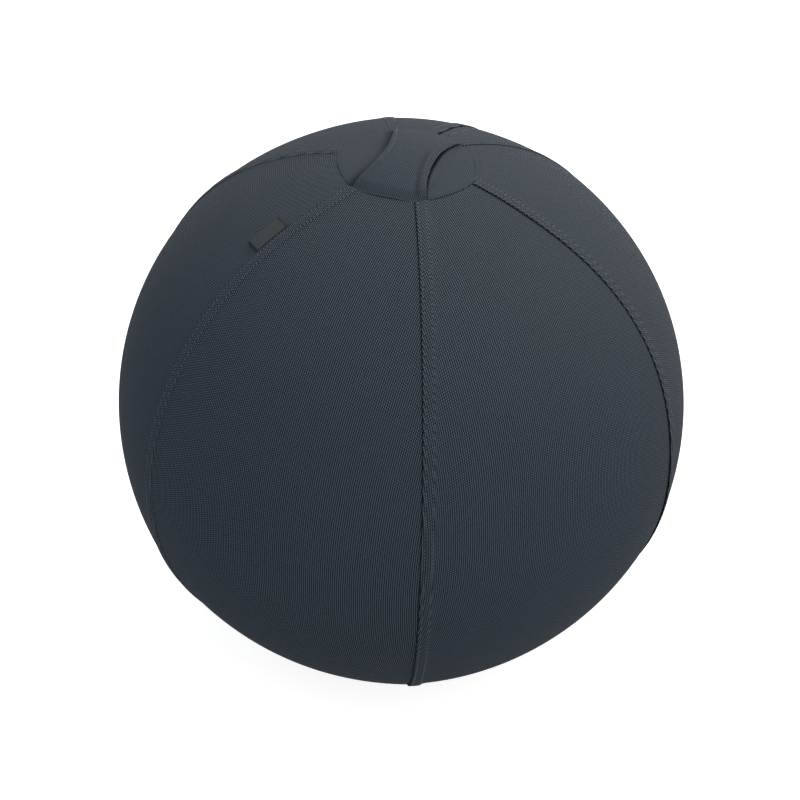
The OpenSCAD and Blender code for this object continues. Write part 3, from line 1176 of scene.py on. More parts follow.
def path_of_stitches(name, context, points, centre_height, material, **changes):
    """Stitches along a path of points, with their backs to a point on the ball's axis."""
    mesh = bpy.data.meshes.new(name)
    mesh.from_pydata(points, [(i, i + 1) for i in range(len(points) - 1)], [])
    return add_stitches(new_piece(name, mesh), context, material, centre_height, **changes)


def new_material(name, colour, roughness):
    """A plain finish with its tree and its shader."""
    material = bpy.data.materials.new(name)
    material.use_nodes = True
    material.diffuse_color = (*colour, 1.0)
    tree = material.node_tree
    shader = tree.nodes["Principled BSDF"]
    shader.inputs["Base Color"].default_value = (*colour, 1.0)
    shader.inputs["Roughness"].default_value = roughness
    return material, tree, shader


def patches(tree, scale, detail=2.0):
    """Noise from 0 to 1 that stays with the object."""
    place = tree.nodes.new("ShaderNodeTexCoord")
    cloud = add_node(tree, "ShaderNodeTexNoise", {
        "Scale": scale,
        "Detail": detail,
        "Vector": place.outputs["Object"],
    })
    return Number(tree, cloud.outputs["Fac"])


def woven_place(tree):
    """The place on the woven cloth, as a distance across and a distance along."""
    grain = add_node(tree, "ShaderNodeAttribute", attribute_name="grain")
    parts = add_node(tree, "ShaderNodeSeparateXYZ", {"Vector": grain.outputs["Vector"]})
    return Number(tree, parts.outputs["X"]), Number(tree, parts.outputs["Y"])


def tint(tree, shader, colour, shade):
    """Colours a shader with a colour that a number brightens or darkens."""
    values = {0: colour, "Scale": shade}
    scale = add_node(tree, "ShaderNodeVectorMath", values, operation="SCALE")
    tree.links.new(scale.outputs["Vector"], shader.inputs["Base Color"])


def emboss(tree, shader, height, distance, strength=1.0):
    """Gives a shader a relief."""
    values = {"Distance": distance, "Strength": strength, "Height": height}
    relief = add_node(tree, "ShaderNodeBump", values)
    tree.links.new(relief.outputs["Normal"], shader.inputs["Normal"])


def open_to_light(tree):
    """1 on open cloth, and less where shade is painted into its colour."""
    crease = add_node(tree, "ShaderNodeAttribute", attribute_name="crease")
    return Number(tree, crease.outputs["Fac"]) * -0.9 + 1.0


def ridges(turns):
    """A wave from 0 to 1 and back over each whole turn."""
    return (turns * (2 * math.pi)).cosine() * -0.5 + 0.5


def ribbed_cloth(name, colour, rib, cross, relief, contrast):
    """Cloth of raised ribs, with cross threads that step from rib to rib, with light painted on
    their crests and shade in the valleys between them.
    """
    material, tree, shader = new_material(name, colour, 0.86)
    shader.inputs["Specular IOR Level"].default_value = 0.03
    shader.inputs["Sheen Weight"].default_value = 0.02
    shader.inputs["Sheen Roughness"].default_value = 0.5
    across, along = woven_place(tree)
    wander = patches(tree, 45.0) - 0.5
    ribs = (across + wander * (0.8 * MM)) * (1 / rib)
    steps = (along + wander * (0.5 * MM)) * (1 / cross) + ribs.whole() * 0.5
    rib_wave = ridges(ribs)
    threads = rib_wave * 0.3 + rib_wave * ridges(steps) * 0.7
    yarn = patches(tree, 1400.0, 3.0)
    emboss(tree, shader, threads + yarn * 0.25, relief)
    worn = patches(tree, 6.0) * 0.10 + patches(tree, 240.0, 3.0) * 0.22
    # Painted light and shade of the weave: crests lighter, valleys darker, beside the bump of the
    # same relief. worn is the cloth's own uneven tone
    shade = threads * contrast + worn + (0.84 - contrast * 0.325)
    tint(tree, shader, colour, shade.at_least(0.05) * open_to_light(tree))
    return material


def twisted_thread(name, colour):
    """Polyester thread with a soft shine, and painted shade on its needle holes."""
    material, tree, shader = new_material(name, colour, 0.55)
    shader.inputs["Specular IOR Level"].default_value = 0.2
    shader.inputs["Sheen Weight"].default_value = 0.05
    strands = patches(tree, 2600.0)
    emboss(tree, shader, strands, 0.08 * MM)
    tint(tree, shader, colour, (strands * 0.5 + 0.75) * open_to_light(tree))
    return material


def moulded(name, colour, roughness, grain, relief):
    """Moulded plastic or enamelled metal with a fine uneven skin."""
    material, tree, shader = new_material(name, colour, roughness)
    skin = patches(tree, grain, 3.0)
    emboss(tree, shader, skin, relief, 0.5)
    tint(tree, shader, colour, skin * 0.2 + 0.9)
    return material


def enamelled(name, colour):
    """Enamelled metal that shines through its worn skin."""
    material = moulded(name, colour, 0.34, 900.0, 0.02 * MM)
    material.node_tree.nodes["Principled BSDF"].inputs["Metallic"].default_value = 0.75
    return material


def loose_sand(name, colour):
    """Sand of pale and dark grains."""
    material, tree, shader = new_material(name, colour, 0.95)
    place = tree.nodes.new("ShaderNodeTexCoord")
    values = {"Scale": 1500.0, "Vector": place.outputs["Object"]}
    grains = add_node(tree, "ShaderNodeTexVoronoi", values)
    emboss(tree, shader, -Number(tree, grains.outputs["Distance"]), 0.4 * MM)
    tint(tree, shader, colour, patches(tree, 1500.0, 1.0) * 0.9 + 0.5)
    return material


# Each finish: its maker, the name of its colour or the colour itself, and the maker's numbers
FINISHES = {
    "Cover cloth": (ribbed_cloth, "cover", 2.2 * MM, 2.7 * MM, 0.5 * MM, 2.4),
    "Fine cover cloth": (ribbed_cloth, "cover", 2.0 * MM, 2.4 * MM, 0.4 * MM, 1.2),
    "Strap cloth": (ribbed_cloth, "cover", 2.0 * MM, 2.4 * MM, 0.4 * MM, 1.2),
    "Base cloth": (ribbed_cloth, (0.030, 0.033, 0.038), 1.8 * MM, 1.8 * MM, 0.3 * MM, 0.8),
    "Tag cloth": (ribbed_cloth, "tag", 0.9 * MM, 0.9 * MM, 0.08 * MM, 0.5),
    "Pouch cloth": (ribbed_cloth, (0.050, 0.053, 0.058), 1.2 * MM, 1.2 * MM, 0.2 * MM, 0.6),
    "Zip tape cloth": (ribbed_cloth, "zip", 0.9 * MM, 1.1 * MM, 0.12 * MM, 0.6),
    "Cover thread": (twisted_thread, "thread"),
    "Nylon wire": (moulded, "zip", 0.38, 1200.0, 0.02 * MM),
    "Enamelled metal": (enamelled, "metal"),
    "Grey vinyl": (moulded, (0.27, 0.29, 0.32), 0.42, 220.0, 0.15 * MM),
    "White plastic": (moulded, (0.72, 0.72, 0.69), 0.4, 500.0, 0.05 * MM),
    "Sand": (loose_sand, (0.45, 0.36, 0.23)),
}


def material_for(context, name):
    """A finish by its name, made the first time that a piece asks for it."""
    maker, colour, *numbers = FINISHES[name]
    if isinstance(colour, str):
        colour = tuple(getattr(context.scene.ball_colours, colour))
    return bpy.data.materials.get(name) or maker(name, colour, *numbers)


def ripples(points, scale, seed):
    """Smooth noise at points in space, from -1 to 1."""
    shift = Vector((seed, 0.3 * seed, 0.7 * seed))
    return np.array([noise.noise(Vector(point) * scale + shift) for point in points])


def foot_angle(sizes):
    """The angle from the top of the ball to the base panel's seam."""
    return math.pi - math.asin(sizes.base_radius / sizes.ball_radius)


class SITTING_BALL_OT_side_panels(bpy.types.Operator):
    """Cut the seven side panels and lay them on the ball with their laps"""

    bl_idname = "sitting_ball.side_panels"
    bl_label = "Side panels"
    bl_options = {"REGISTER", "UNDO"}

    def execute(self, context):
        sizes = context.scene.ball_cover
        cloth = material_for(context, "Cover cloth")
        for name in PANELS:
            piece = new_piece(name + "_cloth", cut_panel(name, sizes))
            lay(piece, sizes, name, cloth)
            thicken(piece, sizes.fabric)
            settle(piece)
            put(piece, "cover", "cover_fabric", name)
        return {"FINISHED"}


# Distance of the rows of stitches beside the zip, and their lifts on its hem and on its edge
ZIP_ROW = 10.0 * MM
ZIP_HEM_LIFT = 0.95 * MM
ZIP_EDGE_LIFT = -0.25 * MM


class SITTING_BALL_OT_seam_stitches(bpy.types.Operator):
    """Sew two rows of stitches down every lap, and a row on each side of the zip"""

    bl_idname = "sitting_ball.seam_stitches"
    bl_label = "Seam stitches"
    bl_options = {"REGISTER", "UNDO"}

    def execute(self, context):
        thread = material_for(context, "Cover thread")
        for name in PANELS:
            made = [self.sew(context, name, *row, thread) for row in self.rows(context, name)]
            put(join(name + "_stitches", made), "cover", "cover_fabric")
        put(self.bar_tack(context, thread), "cover", "cover_fabric")
        return {"FINISHED"}

    @staticmethod
    def rows(context, name):
        """The side, place and lift of each row on a panel."""
        sizes = context.scene.ball_cover
        if "fold" in zip_sides(name):
            rows = [("fold", ZIP_ROW, ZIP_HEM_LIFT)]
        else:
            flatter = sizes.lap_lift * (1 - SEAMS[PANELS[name][0]].press)
            rows = [
                ("fold", 2.6 * MM, 1.85 * MM - flatter),
                ("fold", sizes.lap_width - 2.0 * MM, 1.73 * MM - flatter),
            ]
        if "end" in zip_sides(name):
            rows.append(("end", ZIP_ROW, ZIP_EDGE_LIFT))
        return rows

    @staticmethod
    def sew(context, name, side, place, lift, thread):
        """One row down a panel, from the top panel's rim to the base."""
        sizes = context.scene.ball_cover
        seam = SEAMS[PANELS[name][0 if side == "fold" else 1]]
        first = float(rim_start(sizes, seam.azimuth)) + 1.5 * MM / sizes.ball_radius
        last = foot_angle(sizes) - 2 * MM / sizes.ball_radius
        row = f"{name}_row_{side}_{place}"
        return seam_row(row, context, name, side, place, lift, (first, last), thread)

    @staticmethod
    def bar_tack(context, thread):
        """Close rows of stitches across the lower end of the slit."""
        reach = context.scene.ball_cover.ball_radius + 1.35 * MM
        rows = []
        for row in range(4):
            angle = SLIT_END + (0.5 + 0.55 * row) * MM / reach
            points = [(x * MM, reach * math.sin(angle), CENTRE.z + reach * math.cos(angle))
                      for x in np.arange(-9.5, 0.0, 0.5)]
            rows.append(path_of_stitches(f"bar_tack_{row}", context, points, CENTRE.z, thread,
                                         Pitch=1.3 * MM, Length=1.2 * MM))
        return join("bar_tack", rows)


# The top panel in section: distances from its rim and lifts over the ball, in millimetres. It
# rolls down into its seam, past a row of stitches
CAP_EDGE = (
    (4.0, 0.62), (3.0, 0.6), (2.5, 0.42), (2.0, 0.5), (1.2, 0.46), (0.7, 0.25),
    (0.3, -0.1), (0.06, -0.5), (0.0, -0.9), (0.12, -1.5),
)
# Its lift within that edge, the radii of its circles of points there in millimetres, and the
# points on each circle
CAP_LIFT = 0.6 * MM
CAP_CIRCLES = (1.5, *np.arange(4, 68, 1.5))
CAP_SEGMENTS = 320


class SITTING_BALL_OT_top_panel(bpy.types.Operator):
    """Make the round panel on top, with its edge rolled down into the seam"""

    bl_idname = "sitting_ball.top_panel"
    bl_label = "Top panel"
    bl_options = {"REGISTER", "UNDO"}

    def execute(self, context):
        sizes = context.scene.ball_cover
        rim = sizes.cap_radius
        lifts = [(r * MM, CAP_LIFT) for r in CAP_CIRCLES]
        lifts += [(rim - d * MM, lift * MM) for d, lift in CAP_EDGE]
        profile = [
            (r, CENTRE.z + math.sqrt((sizes.ball_radius + lift) ** 2 - r**2)) for r, lift in lifts
        ]
        mesh = turned_cloth("top_panel_cloth", profile, CAP_SEGMENTS, 1)
        piece = new_piece("top_panel_cloth", mesh)
        self.crease(mesh, sizes, StrapShape(context))
        mesh.materials.append(material_for(context, "Fine cover cloth"))
        thicken(piece, sizes.fabric)
        settle(piece)
        put(piece, "cover", "cover_fabric", "top_panel")
        return {"FINISHED"}

    @classmethod
    def crease(cls, mesh, sizes, strap):
        """Folds the cloth softly, presses it down under the strap and pulls its edge. It also
        paints shade under the strap's open edge, in the valley beside it and on the rolled rim.
        """
        points = np.array([vertex.co for vertex in mesh.vertices])
        radius = np.hypot(points[:, 0], points[:, 1])
        reach = np.hypot(radius, points[:, 2] - CENTRE.z)
        past = sizes.cap_radius - radius
        across, along = strap.seen(points[:, 0], points[:, 1])
        beside = np.abs(across) - strap.half_width(along, across)
        valley = cls.valley(beside, across, along)
        lift = cls.soft_folds(points, past) + cls.pull(beside, across, along, past, valley)
        # Painted shade under the open edge of the strap, in the valley beside its left edge and on
        # the rolled rim, which keep the light out
        edge = smooth_step(2.4 * MM, 0.6 * MM, beside) * (across > 0)
        azimuth = np.arctan2(points[:, 1], points[:, 0])
        far = np.maximum(0.0, np.sin(azimuth))
        rolled = smooth_step((0.4 + far) * MM, 0.0, past) * (1.0 - 0.4 * far)
        store_painted_shade(mesh, np.maximum(np.maximum(edge, 0.7 * valley), rolled))
        outer = smooth_step(0.3, 1.0, radius / sizes.cap_radius)
        wider = radius + (rim_radius(sizes, azimuth) - sizes.cap_radius) * outer
        height = CENTRE.z + np.sqrt((reach + lift) ** 2 - wider**2)
        for vertex, share, z in zip(mesh.vertices, wider / radius, height):
            vertex.co = (vertex.co.x * share, vertex.co.y * share, z)

    @staticmethod
    def soft_folds(points, past):
        """Heights of broad folds over the panel and of small ones along its rim."""
        broad = ripples(points, 26.0, 4.0) * 0.45 * MM * smooth_step(1 * MM, 14 * MM, past)
        small = ripples(points, 90.0, 9.0) * 0.25 * MM * bell(past / MM, 5, 5)
        return broad + small

    @staticmethod
    def valley(beside, across, along):
        """A valley in the cloth beside the strap's left edge, as a share of its depth and of the
        shade painted in it.
        """
        valley = bell(beside / MM, 1.0, 7.0) * (across < 0)
        return valley * (0.7 + 0.3 * smooth_step(0.0, -45 * MM, along))

    @staticmethod
    def pull(beside, across, along, past, valley):
        """How the strap draws the panel: down under it and in its seams, up on its right."""
        near = smooth_step(1 * MM, 8 * MM, past)
        under = smooth_step(1.5 * MM, -5 * MM, beside) * near
        sewn_under = smooth_step(0.3 * MM, -1.2 * MM, beside) * smooth_step(12 * MM, 3 * MM, past)
        bulge = smooth_step(7 * MM, -2 * MM, beside) * near * (across > 0)
        front = 3.6 * MM * smooth_step(-54 * MM, -20 * MM, along)
        back = 1.0 * MM * smooth_step(-5 * MM, 20 * MM, along)
        raised = bulge * (front + back)
        return raised - 1.3 * MM * under - 1.9 * MM * sewn_under - 1.2 * MM * valley * near


# The base panel in section: distances past its rim in millimetres and shares of its height. The
# edge rounds over into a sewn channel underneath
BASE_EDGE = (
    (-1.4, 1.0), (-0.5, 0.94), (-0.1, 0.75), (0.0, 0.5), (-0.1, 0.3), (-0.5, 0.2),
    (-1.6, 0.4), (-3.0, 0.5), (-5.0, 0.42), (-7.0, 0.1), (-9.0, 0.0),
)
# Radii of the circles of points within that edge, in millimetres, and the points on each
BASE_CIRCLES = (2, 20, 40, 60)
BASE_SEGMENTS = 180
# How far the row of stitches in that channel lies from the rim, and its share of the height
BASE_ROW = 3.4 * MM
BASE_ROW_HEIGHT = 0.4


class SITTING_BALL_OT_base_panel(bpy.types.Operator):
    """Make the round panel that the ball stands on, with a sewn channel under its edge"""

    bl_idname = "sitting_ball.base_panel"
    bl_label = "Base panel"
    bl_options = {"REGISTER", "UNDO"}

    def execute(self, context):
        rim = context.scene.ball_cover.base_radius
        top = BASE_HIGH.z
        upper = [(r * MM, top) for r in (*BASE_CIRCLES, 72)]
        turned = [(rim + d * MM, share * top) for d, share in BASE_EDGE]
        lower = [(r * MM, 0.0) for r in reversed(BASE_CIRCLES)]
        mesh = turned_cloth("base_panel_cloth", upper + turned + lower, BASE_SEGMENTS, 2)
        mesh.materials.append(material_for(context, "Base cloth"))
        piece = new_piece("base_panel_cloth", mesh)
        mesh.shade_smooth()
        put(piece, "cover", "base_fabric", "base_panel")
        angles = np.linspace(0.0, 2 * math.pi, 260)
        stitches = ring_of_stitches(
            "base_stitches", context, rim - BASE_ROW + 0 * angles,
            BASE_ROW_HEIGHT * top + 0 * angles, angles, material_for(context, "Cover thread"),
        )
        put(stitches, "cover", "base_fabric")
        return {"FINISHED"}


# The strap's left edge is pinched in: where, over what share of its length, and how far
PINCH_PLACE = -0.1
PINCH_SPREAD = 0.5
PINCH_DEPTH = 4.6 * MM
# Where the strap sinks into its seams: how far past the rim it runs, how deep it sinks, and over
# what lengths it sinks and thins
END_PAST_RIM = 0.7 * MM
END_SINK = 2.6 * MM
END_SLOPE = 12 * MM
END_THINNING = 5 * MM


class StrapShape:
    """Where the points of the carrying strap lie."""

    def __init__(self, context):
        self.sizes = context.scene.ball_strap
        self.cover = context.scene.ball_cover
        self.rim = self.cover.cap_radius
        rise = STRAP_HIGH.z - self.sizes.thickness - STRAP_LOW.z
        self.radius = (self.rim**2 + rise**2) / (2 * rise)
        self.centre = STRAP_LOW.z + rise - self.radius
        self.reach = math.sqrt(self.rim**2 - self.sizes.ends**2 / 4)
        depth = (self.sizes.ends - self.sizes.waist) / 2
        self.scallop = (self.reach**2 + depth**2) / (2 * depth)

    def half_width(self, along, side):
        """Half of the strap's width at a distance along it, on its left side or its right."""
        pinch = bell(along / self.reach, PINCH_PLACE, PINCH_SPREAD)
        along = np.clip(np.abs(along), 0.0, self.reach)
        half = self.sizes.waist / 2 + self.scallop - np.sqrt(self.scallop**2 - along**2)
        return half - PINCH_DEPTH * pinch * (np.asarray(side) < 0)

    def end(self, x, side):
        """Distance from the ball's axis to the seam at one end of the strap."""
        azimuth = np.arctan2(side * np.sqrt(self.rim**2 - x**2), x) + self.sizes.turn
        return np.sqrt(rim_radius(self.cover, azimuth) ** 2 - x**2) + END_PAST_RIM

    def left(self, x, y):
        """How much of the strap is left between a point and the seam at its end."""
        return self.end(x, np.where(y < 0, -1.0, 1.0)) - np.abs(y)

    def seen(self, x, y):
        """Places of points across and along the strap, from above."""
        turn = self.sizes.turn
        across = x * math.cos(turn) + y * math.sin(turn)
        return across, y * math.cos(turn) - x * math.sin(turn)

    def ending(self, x, y):
        """How far a point sinks into the seam at the strap's ends, and its share of thickness."""
        left = self.left(x, y)
        sink = END_SINK * (1.0 - smooth_step(0.0, END_SLOPE, left))
        return sink, 0.5 + 0.5 * smooth_step(0.0, END_THINNING, left)

    def place(self, x, y, lift):
        """Points at places on the strap seen from above, by their height over its middle."""
        sink, share = self.ending(x, y)
        reach = self.radius + self.sizes.thickness / 2 + lift * share - sink
        z = self.centre + np.sqrt(reach**2 - x**2 - y**2)
        turn = self.sizes.turn
        return np.stack(
            [x * math.cos(turn) - y * math.sin(turn), x * math.sin(turn) + y * math.cos(turn), z],
            axis=-1,
        )


class SITTING_BALL_OT_carrying_strap(bpy.types.Operator):
    """Make the carrying strap, with a waist, hems along its sides and ends sewn into the seam"""

    bl_idname = "sitting_ball.carrying_strap"
    bl_label = "Carrying strap"
    bl_options = {"REGISTER", "UNDO"}

    def execute(self, context):
        shape = StrapShape(context)
        piece = new_piece("carrying_strap_cloth", self.cut(shape))
        piece.data.materials.append(material_for(context, "Strap cloth"))
        piece.data.shade_smooth()
        put(piece, "cover", "strap_fabric", "carrying_strap")
        self.sew(context, shape)
        return {"FINISHED"}

    @classmethod
    def cut(cls, shape):
        """The strap as a closed tube of cloth, with its folds and the shade painted on its
        underside and in its fold.
        """
        # Rows of points lie closer together towards the ends
        rows = np.linspace(-1.0, 1.0, 121)
        along = (0.3 * rows + 0.7 * np.sin(rows * math.pi / 2))[:, None]
        width = shape.half_width(along * shape.reach, 1)
        x, lift = cls.section(shape, width)
        x = np.where(x < 0, x * shape.half_width(along * shape.reach, -1) / width, x)
        y = along * shape.end(x, np.where(along < 0, -1.0, 1.0))
        flat = np.stack([x, y, 0.0 * x], axis=-1).reshape(-1, 3)
        # Shade is painted on the underside, where the cloth turns back under the strap
        shade = smooth_step(0.3 * MM, -0.6 * MM, lift)
        hold = smooth_step(0.0, END_SLOPE, shape.left(x, y))
        lift = lift + cls.soft_folds(flat).reshape(x.shape) * (0.35 + 0.65 * hold)
        lift = lift + cls.open_side(shape, x, y, along, width)
        # One sharper fold runs beside the right hem, over the half that faces front, and shade is
        # painted in it
        fold = bell((width - x) / MM, 10.0, 2.2) * smooth_step(0.3, -0.1, along)
        lift = lift - 0.9 * MM * fold * hold * (lift > 0)
        shade = np.maximum(shade, 0.3 * fold * hold)
        points = shape.place(x, y, lift).reshape(-1, 3)
        count, across = x.shape
        faces = grid_faces(count, across, round_it=True)
        faces.append(list(range(across - 1, -1, -1)))
        faces.append(list(range((count - 1) * across, count * across)))
        mesh = bpy.data.meshes.new("carrying_strap_cloth")
        mesh.from_pydata(points.tolist(), [], faces)
        store_grain(mesh, flat[:, 0], flat[:, 1])
        store_painted_shade(mesh, shade.ravel())
        return mesh

    @staticmethod
    def soft_folds(flat):
        """Heights of long folds down the strap and of small ones all over it."""
        long = ripples(flat * [1.0, 0.33, 1.0], 42.0, 2.0) * 0.5 * MM
        small = ripples(flat, 110.0, 6.0) * 0.16 * MM
        return long + small

    @staticmethod
    def open_side(shape, x, y, along, width):
        """Height of the right side, which stands open at the front and sags further back."""
        left = shape.left(x, y)
        side = smooth_step(12 * MM, 0.0, width - x) * smooth_step(0.2 * MM, 2.5 * MM, left)
        sag = smooth_step(-0.85, -0.25, along) * (1.0 - 0.6 * smooth_step(0.5, 0.9, along))
        return (1.7 - 3.6 * sag) * MM * side * smooth_step(1.0, 0.9, along)

    @staticmethod
    def section(shape, width):
        """Places and heights across the strap, over its top and back underneath."""
        hem = shape.sizes.hem / MM
        side = [(0.0, 0.0), (0.1, 0.5), (0.4, 0.95), (1.0, 1.25), (2.5, 1.4), (hem - 2.4, 1.4),
                (hem - 1.4, 1.15), (hem - 0.7, 1.3), (hem - 0.1, 1.12), (hem + 0.3, 0.76),
                (hem + 1.2, 0.62), (hem + 2.5, 0.75), (hem + 5.0, 0.92), (hem + 7.0, 1.0)]
        under = [(0.1, -0.5), (0.5, -0.9), (1.5, -1.0), (hem + 7.0, -1.0)]
        middle = np.linspace(-1.0, 1.0, 20)[1:-1]
        inset = side[-1][0] * MM
        columns = [(-(width - d * MM), z) for d, z in side]
        columns += [(share * (width - inset), 1.0) for share in middle]
        columns += [(width - d * MM, z) for d, z in reversed(side)]
        columns += [(width - d * MM, z) for d, z in under]
        columns += [(-share * (width - inset), -1.0) for share in middle[::3]]
        columns += [(-(width - d * MM), z) for d, z in reversed(under)]
        x = np.concatenate([place for place, _ in columns], axis=1)
        lift = np.broadcast_to([z * MM for _, z in columns], x.shape)
        return x, lift

    @classmethod
    def sew(cls, context, shape):
        """Rows of stitches along the hems and round the top panel's rim."""
        thread = material_for(context, "Cover thread")
        hems = [cls.hem_row(context, shape, side, thread) for side in (-1, 1)]
        put(join("strap_stitches", hems), "cover", "strap_fabric")
        rims = [cls.rim_row(context, shape, turn, thread) for turn in (0.0, math.pi)]
        put(join("rim_stitches", rims), "cover", "cover_fabric")

    @staticmethod
    def hem_row(context, shape, side, thread):
        """A row along the left hem or the right one, whose thread is finer."""
        along = np.arange(-shape.reach + 3 * MM, shape.reach - 3 * MM, PATH_STEP)
        row = shape.half_width(along, side) - (shape.sizes.hem - 1.4 * MM)
        points = shape.place(side * row, along, 1.3 * MM).tolist()
        size = 0.62 * MM if side < 0 else 0.34 * MM
        return path_of_stitches(f"hem_{side}", context, points, shape.centre, thread,
                                Slant=side * 0.5 * MM, Thread=size)

    @staticmethod
    def rim_row(context, shape, turn, thread):
        """A row along the top panel's rim on one side of the strap."""
        cover = shape.cover
        half = math.asin((shape.sizes.ends / 2 - 0.5 * MM) / shape.rim)
        angles = shape.sizes.turn + turn + np.linspace(half, math.pi - half, 60) - math.pi / 2
        radii = rim_radius(cover, angles) - 0.9 * MM
        heights = CENTRE.z + np.sqrt((cover.ball_radius - 0.2 * MM) ** 2 - radii**2)
        return ring_of_stitches(f"rim_{turn}", context, radii, heights, angles, thread)


# The side tag: heights of its two layers over the panel, the thickness of its cloth, and how many
# points it has across a layer, round its fold and down it
TAG_LAYERS = (0.45 * MM, 1.15 * MM)
TAG_FABRIC = 0.5 * MM
TAG_POINTS = (12, 7, 28)


class SITTING_BALL_OT_side_tag(bpy.types.Operator):
    """Fold the bare tag that is sewn in under the fold of the left front seam"""

    bl_idname = "sitting_ball.side_tag"
    bl_label = "Side tag"
    bl_options = {"REGISTER", "UNDO"}

    def execute(self, context):
        tag = context.scene.ball_tag
        sizes = context.scene.ball_cover
        piece = new_piece("side_tag_cloth", self.cut(tag))
        lay(piece, sizes, "panel_left_front", material_for(context, "Tag cloth"))
        thicken(piece, TAG_FABRIC)
        settle(piece)
        put(piece, "cover", "tag_fabric", "side_tag")
        return {"FINISHED"}

    @staticmethod
    def cut(tag):
        """The folded tag, slipped down at its fold and curled up at its lower corner, with shade
        painted along the seam and at its upper and lower edges.
        """
        low, high = TAG_LAYERS
        along, round_fold, rows = TAG_POINTS
        roll = (high - low) / 2
        reach = tag.width - roll - TAG_FABRIC / 2
        flat = np.linspace(0.15 * MM, reach, along)
        turn = np.radians(np.linspace(-90, 90, round_fold))[1:-1]
        away = np.concatenate([flat, reach + roll * np.cos(turn), flat[::-1]])
        lift = np.concatenate([0 * flat + low, low + roll + roll * np.sin(turn), 0 * flat + high])
        down = np.linspace(0.0, 1.0, rows)[:, None]
        slip = tag.skew * (0.65 - 0.33 * down)
        polar = tag.top + (tag.bottom - tag.top) * down + slip * away / tag.width
        curl = tag.curl * (away / tag.width) ** 2 * (0.3 + 0.7 * down**2)
        beside = away * (1.14 - 0.14 * down) - SEAMS["left_front"].aside(polar)
        wave = 0.18 * MM * np.sin(6.0 * down + 80 * away) * (away / tag.width)
        # Shade is painted where the tag runs in under the seam's fold, and along its upper and
        # lower edges
        in_seam = smooth_step(2.4 * MM, 0.8 * MM, away)
        at_edges = smooth_step(0.42, 0.5, np.abs(down - 0.5))
        return flat_cloth("side_tag_cloth", {
            "from_fold": beside,
            "from_end": beside,
            "share": np.ones((rows, len(away))),
            "polar": polar,
            "lift": lift + curl + np.abs(wave),
            "crease": np.maximum(in_seam, 0.7 * at_edges),
        })


# Places across a zip tape where its points lie, as shares of its width
TAPE_COLUMNS = (0, 0.05, 0.12, 0.3, 0.5, 0.7, 0.85, 0.95, 1.0)


class SITTING_BALL_OT_zip_tapes(bpy.types.Operator):
    """Weave the two zip tapes under the edges of the slit"""

    bl_idname = "sitting_ball.zip_tapes"
    bl_label = "Zip tapes"
    bl_options = {"REGISTER", "UNDO"}

    def execute(self, context):
        sizes = context.scene.ball_zip
        angle = np.arange(TAPE_START, SLIT_END, 2.5 * MM / ZIP_RADIUS)
        angle = np.append(angle, SLIT_END)[:, None]
        inner = TAPE_LOW.x
        outer = sizes.tape_width / 2
        across = inner + (outer - inner) * np.array(TAPE_COLUMNS)
        for side, name in ((1, "zip_tape_right"), (-1, "zip_tape_left")):
            reach = np.sqrt(ZIP_RADIUS**2 - across**2) + 0 * angle
            x = side * across + 0 * angle
            points = np.stack([x, reach * np.sin(angle), CENTRE.z + reach * np.cos(angle)], axis=-1)
            mesh = bpy.data.meshes.new(name + "_cloth")
            mesh.from_pydata(points.reshape(-1, 3).tolist(), [], grid_faces(*x.shape))
            store_grain(mesh, x.ravel(), (ZIP_RADIUS * angle + 0 * x).ravel())
            mesh.materials.append(material_for(context, "Zip tape cloth"))
            piece = new_piece(name + "_cloth", mesh)
            thicken(piece, sizes.tape_thickness)
            settle(piece)
            put(piece, "cover", "zip_tape", name)
        return {"FINISHED"}


# Points in each turn of the coil, and sides of its wire
COIL_STEPS = 12
WIRE_SIDES = 5
# How far the coil's turns reach up and down from the zip's circle
COIL_RISE = 0.9 * MM


def coil_tree():
    """Winds a row of points into one side of the zip's coil."""
    numbers = ("Side", "Start", "Pitch", "Zip Radius", "Middle", "Reach", "Rise", "Wire",
               "Centre Height")
    tree, given, result, value = new_tree("Zip coil", numbers)
    count = Number(tree, tree.nodes.new("GeometryNodeInputIndex").outputs["Index"])
    turns = count * (1 / COIL_STEPS)
    phase = turns * (2 * math.pi)
    angle = value["Start"] + turns * value["Pitch"] / value["Zip Radius"]
    x = value["Side"] * (value["Middle"] + value["Reach"] * phase.cosine())
    reach = value["Zip Radius"] + value["Rise"] * phase.sine()
    y = reach * angle.sine()
    z = reach * angle.cosine() + value["Centre Height"]
    place = add_node(tree, "GeometryNodeSetPosition", {
        "Geometry": given.outputs["Geometry"],
        "Position": combine(tree, x, y, z),
    })
    curve = add_node(tree, "GeometryNodeMeshToCurve", {"Mesh": place.outputs["Geometry"]})
    wire = round_strand(tree, curve.outputs["Curve"], value["Wire"], WIRE_SIDES)
    finish_tree(tree, wire, given, result)
    return tree


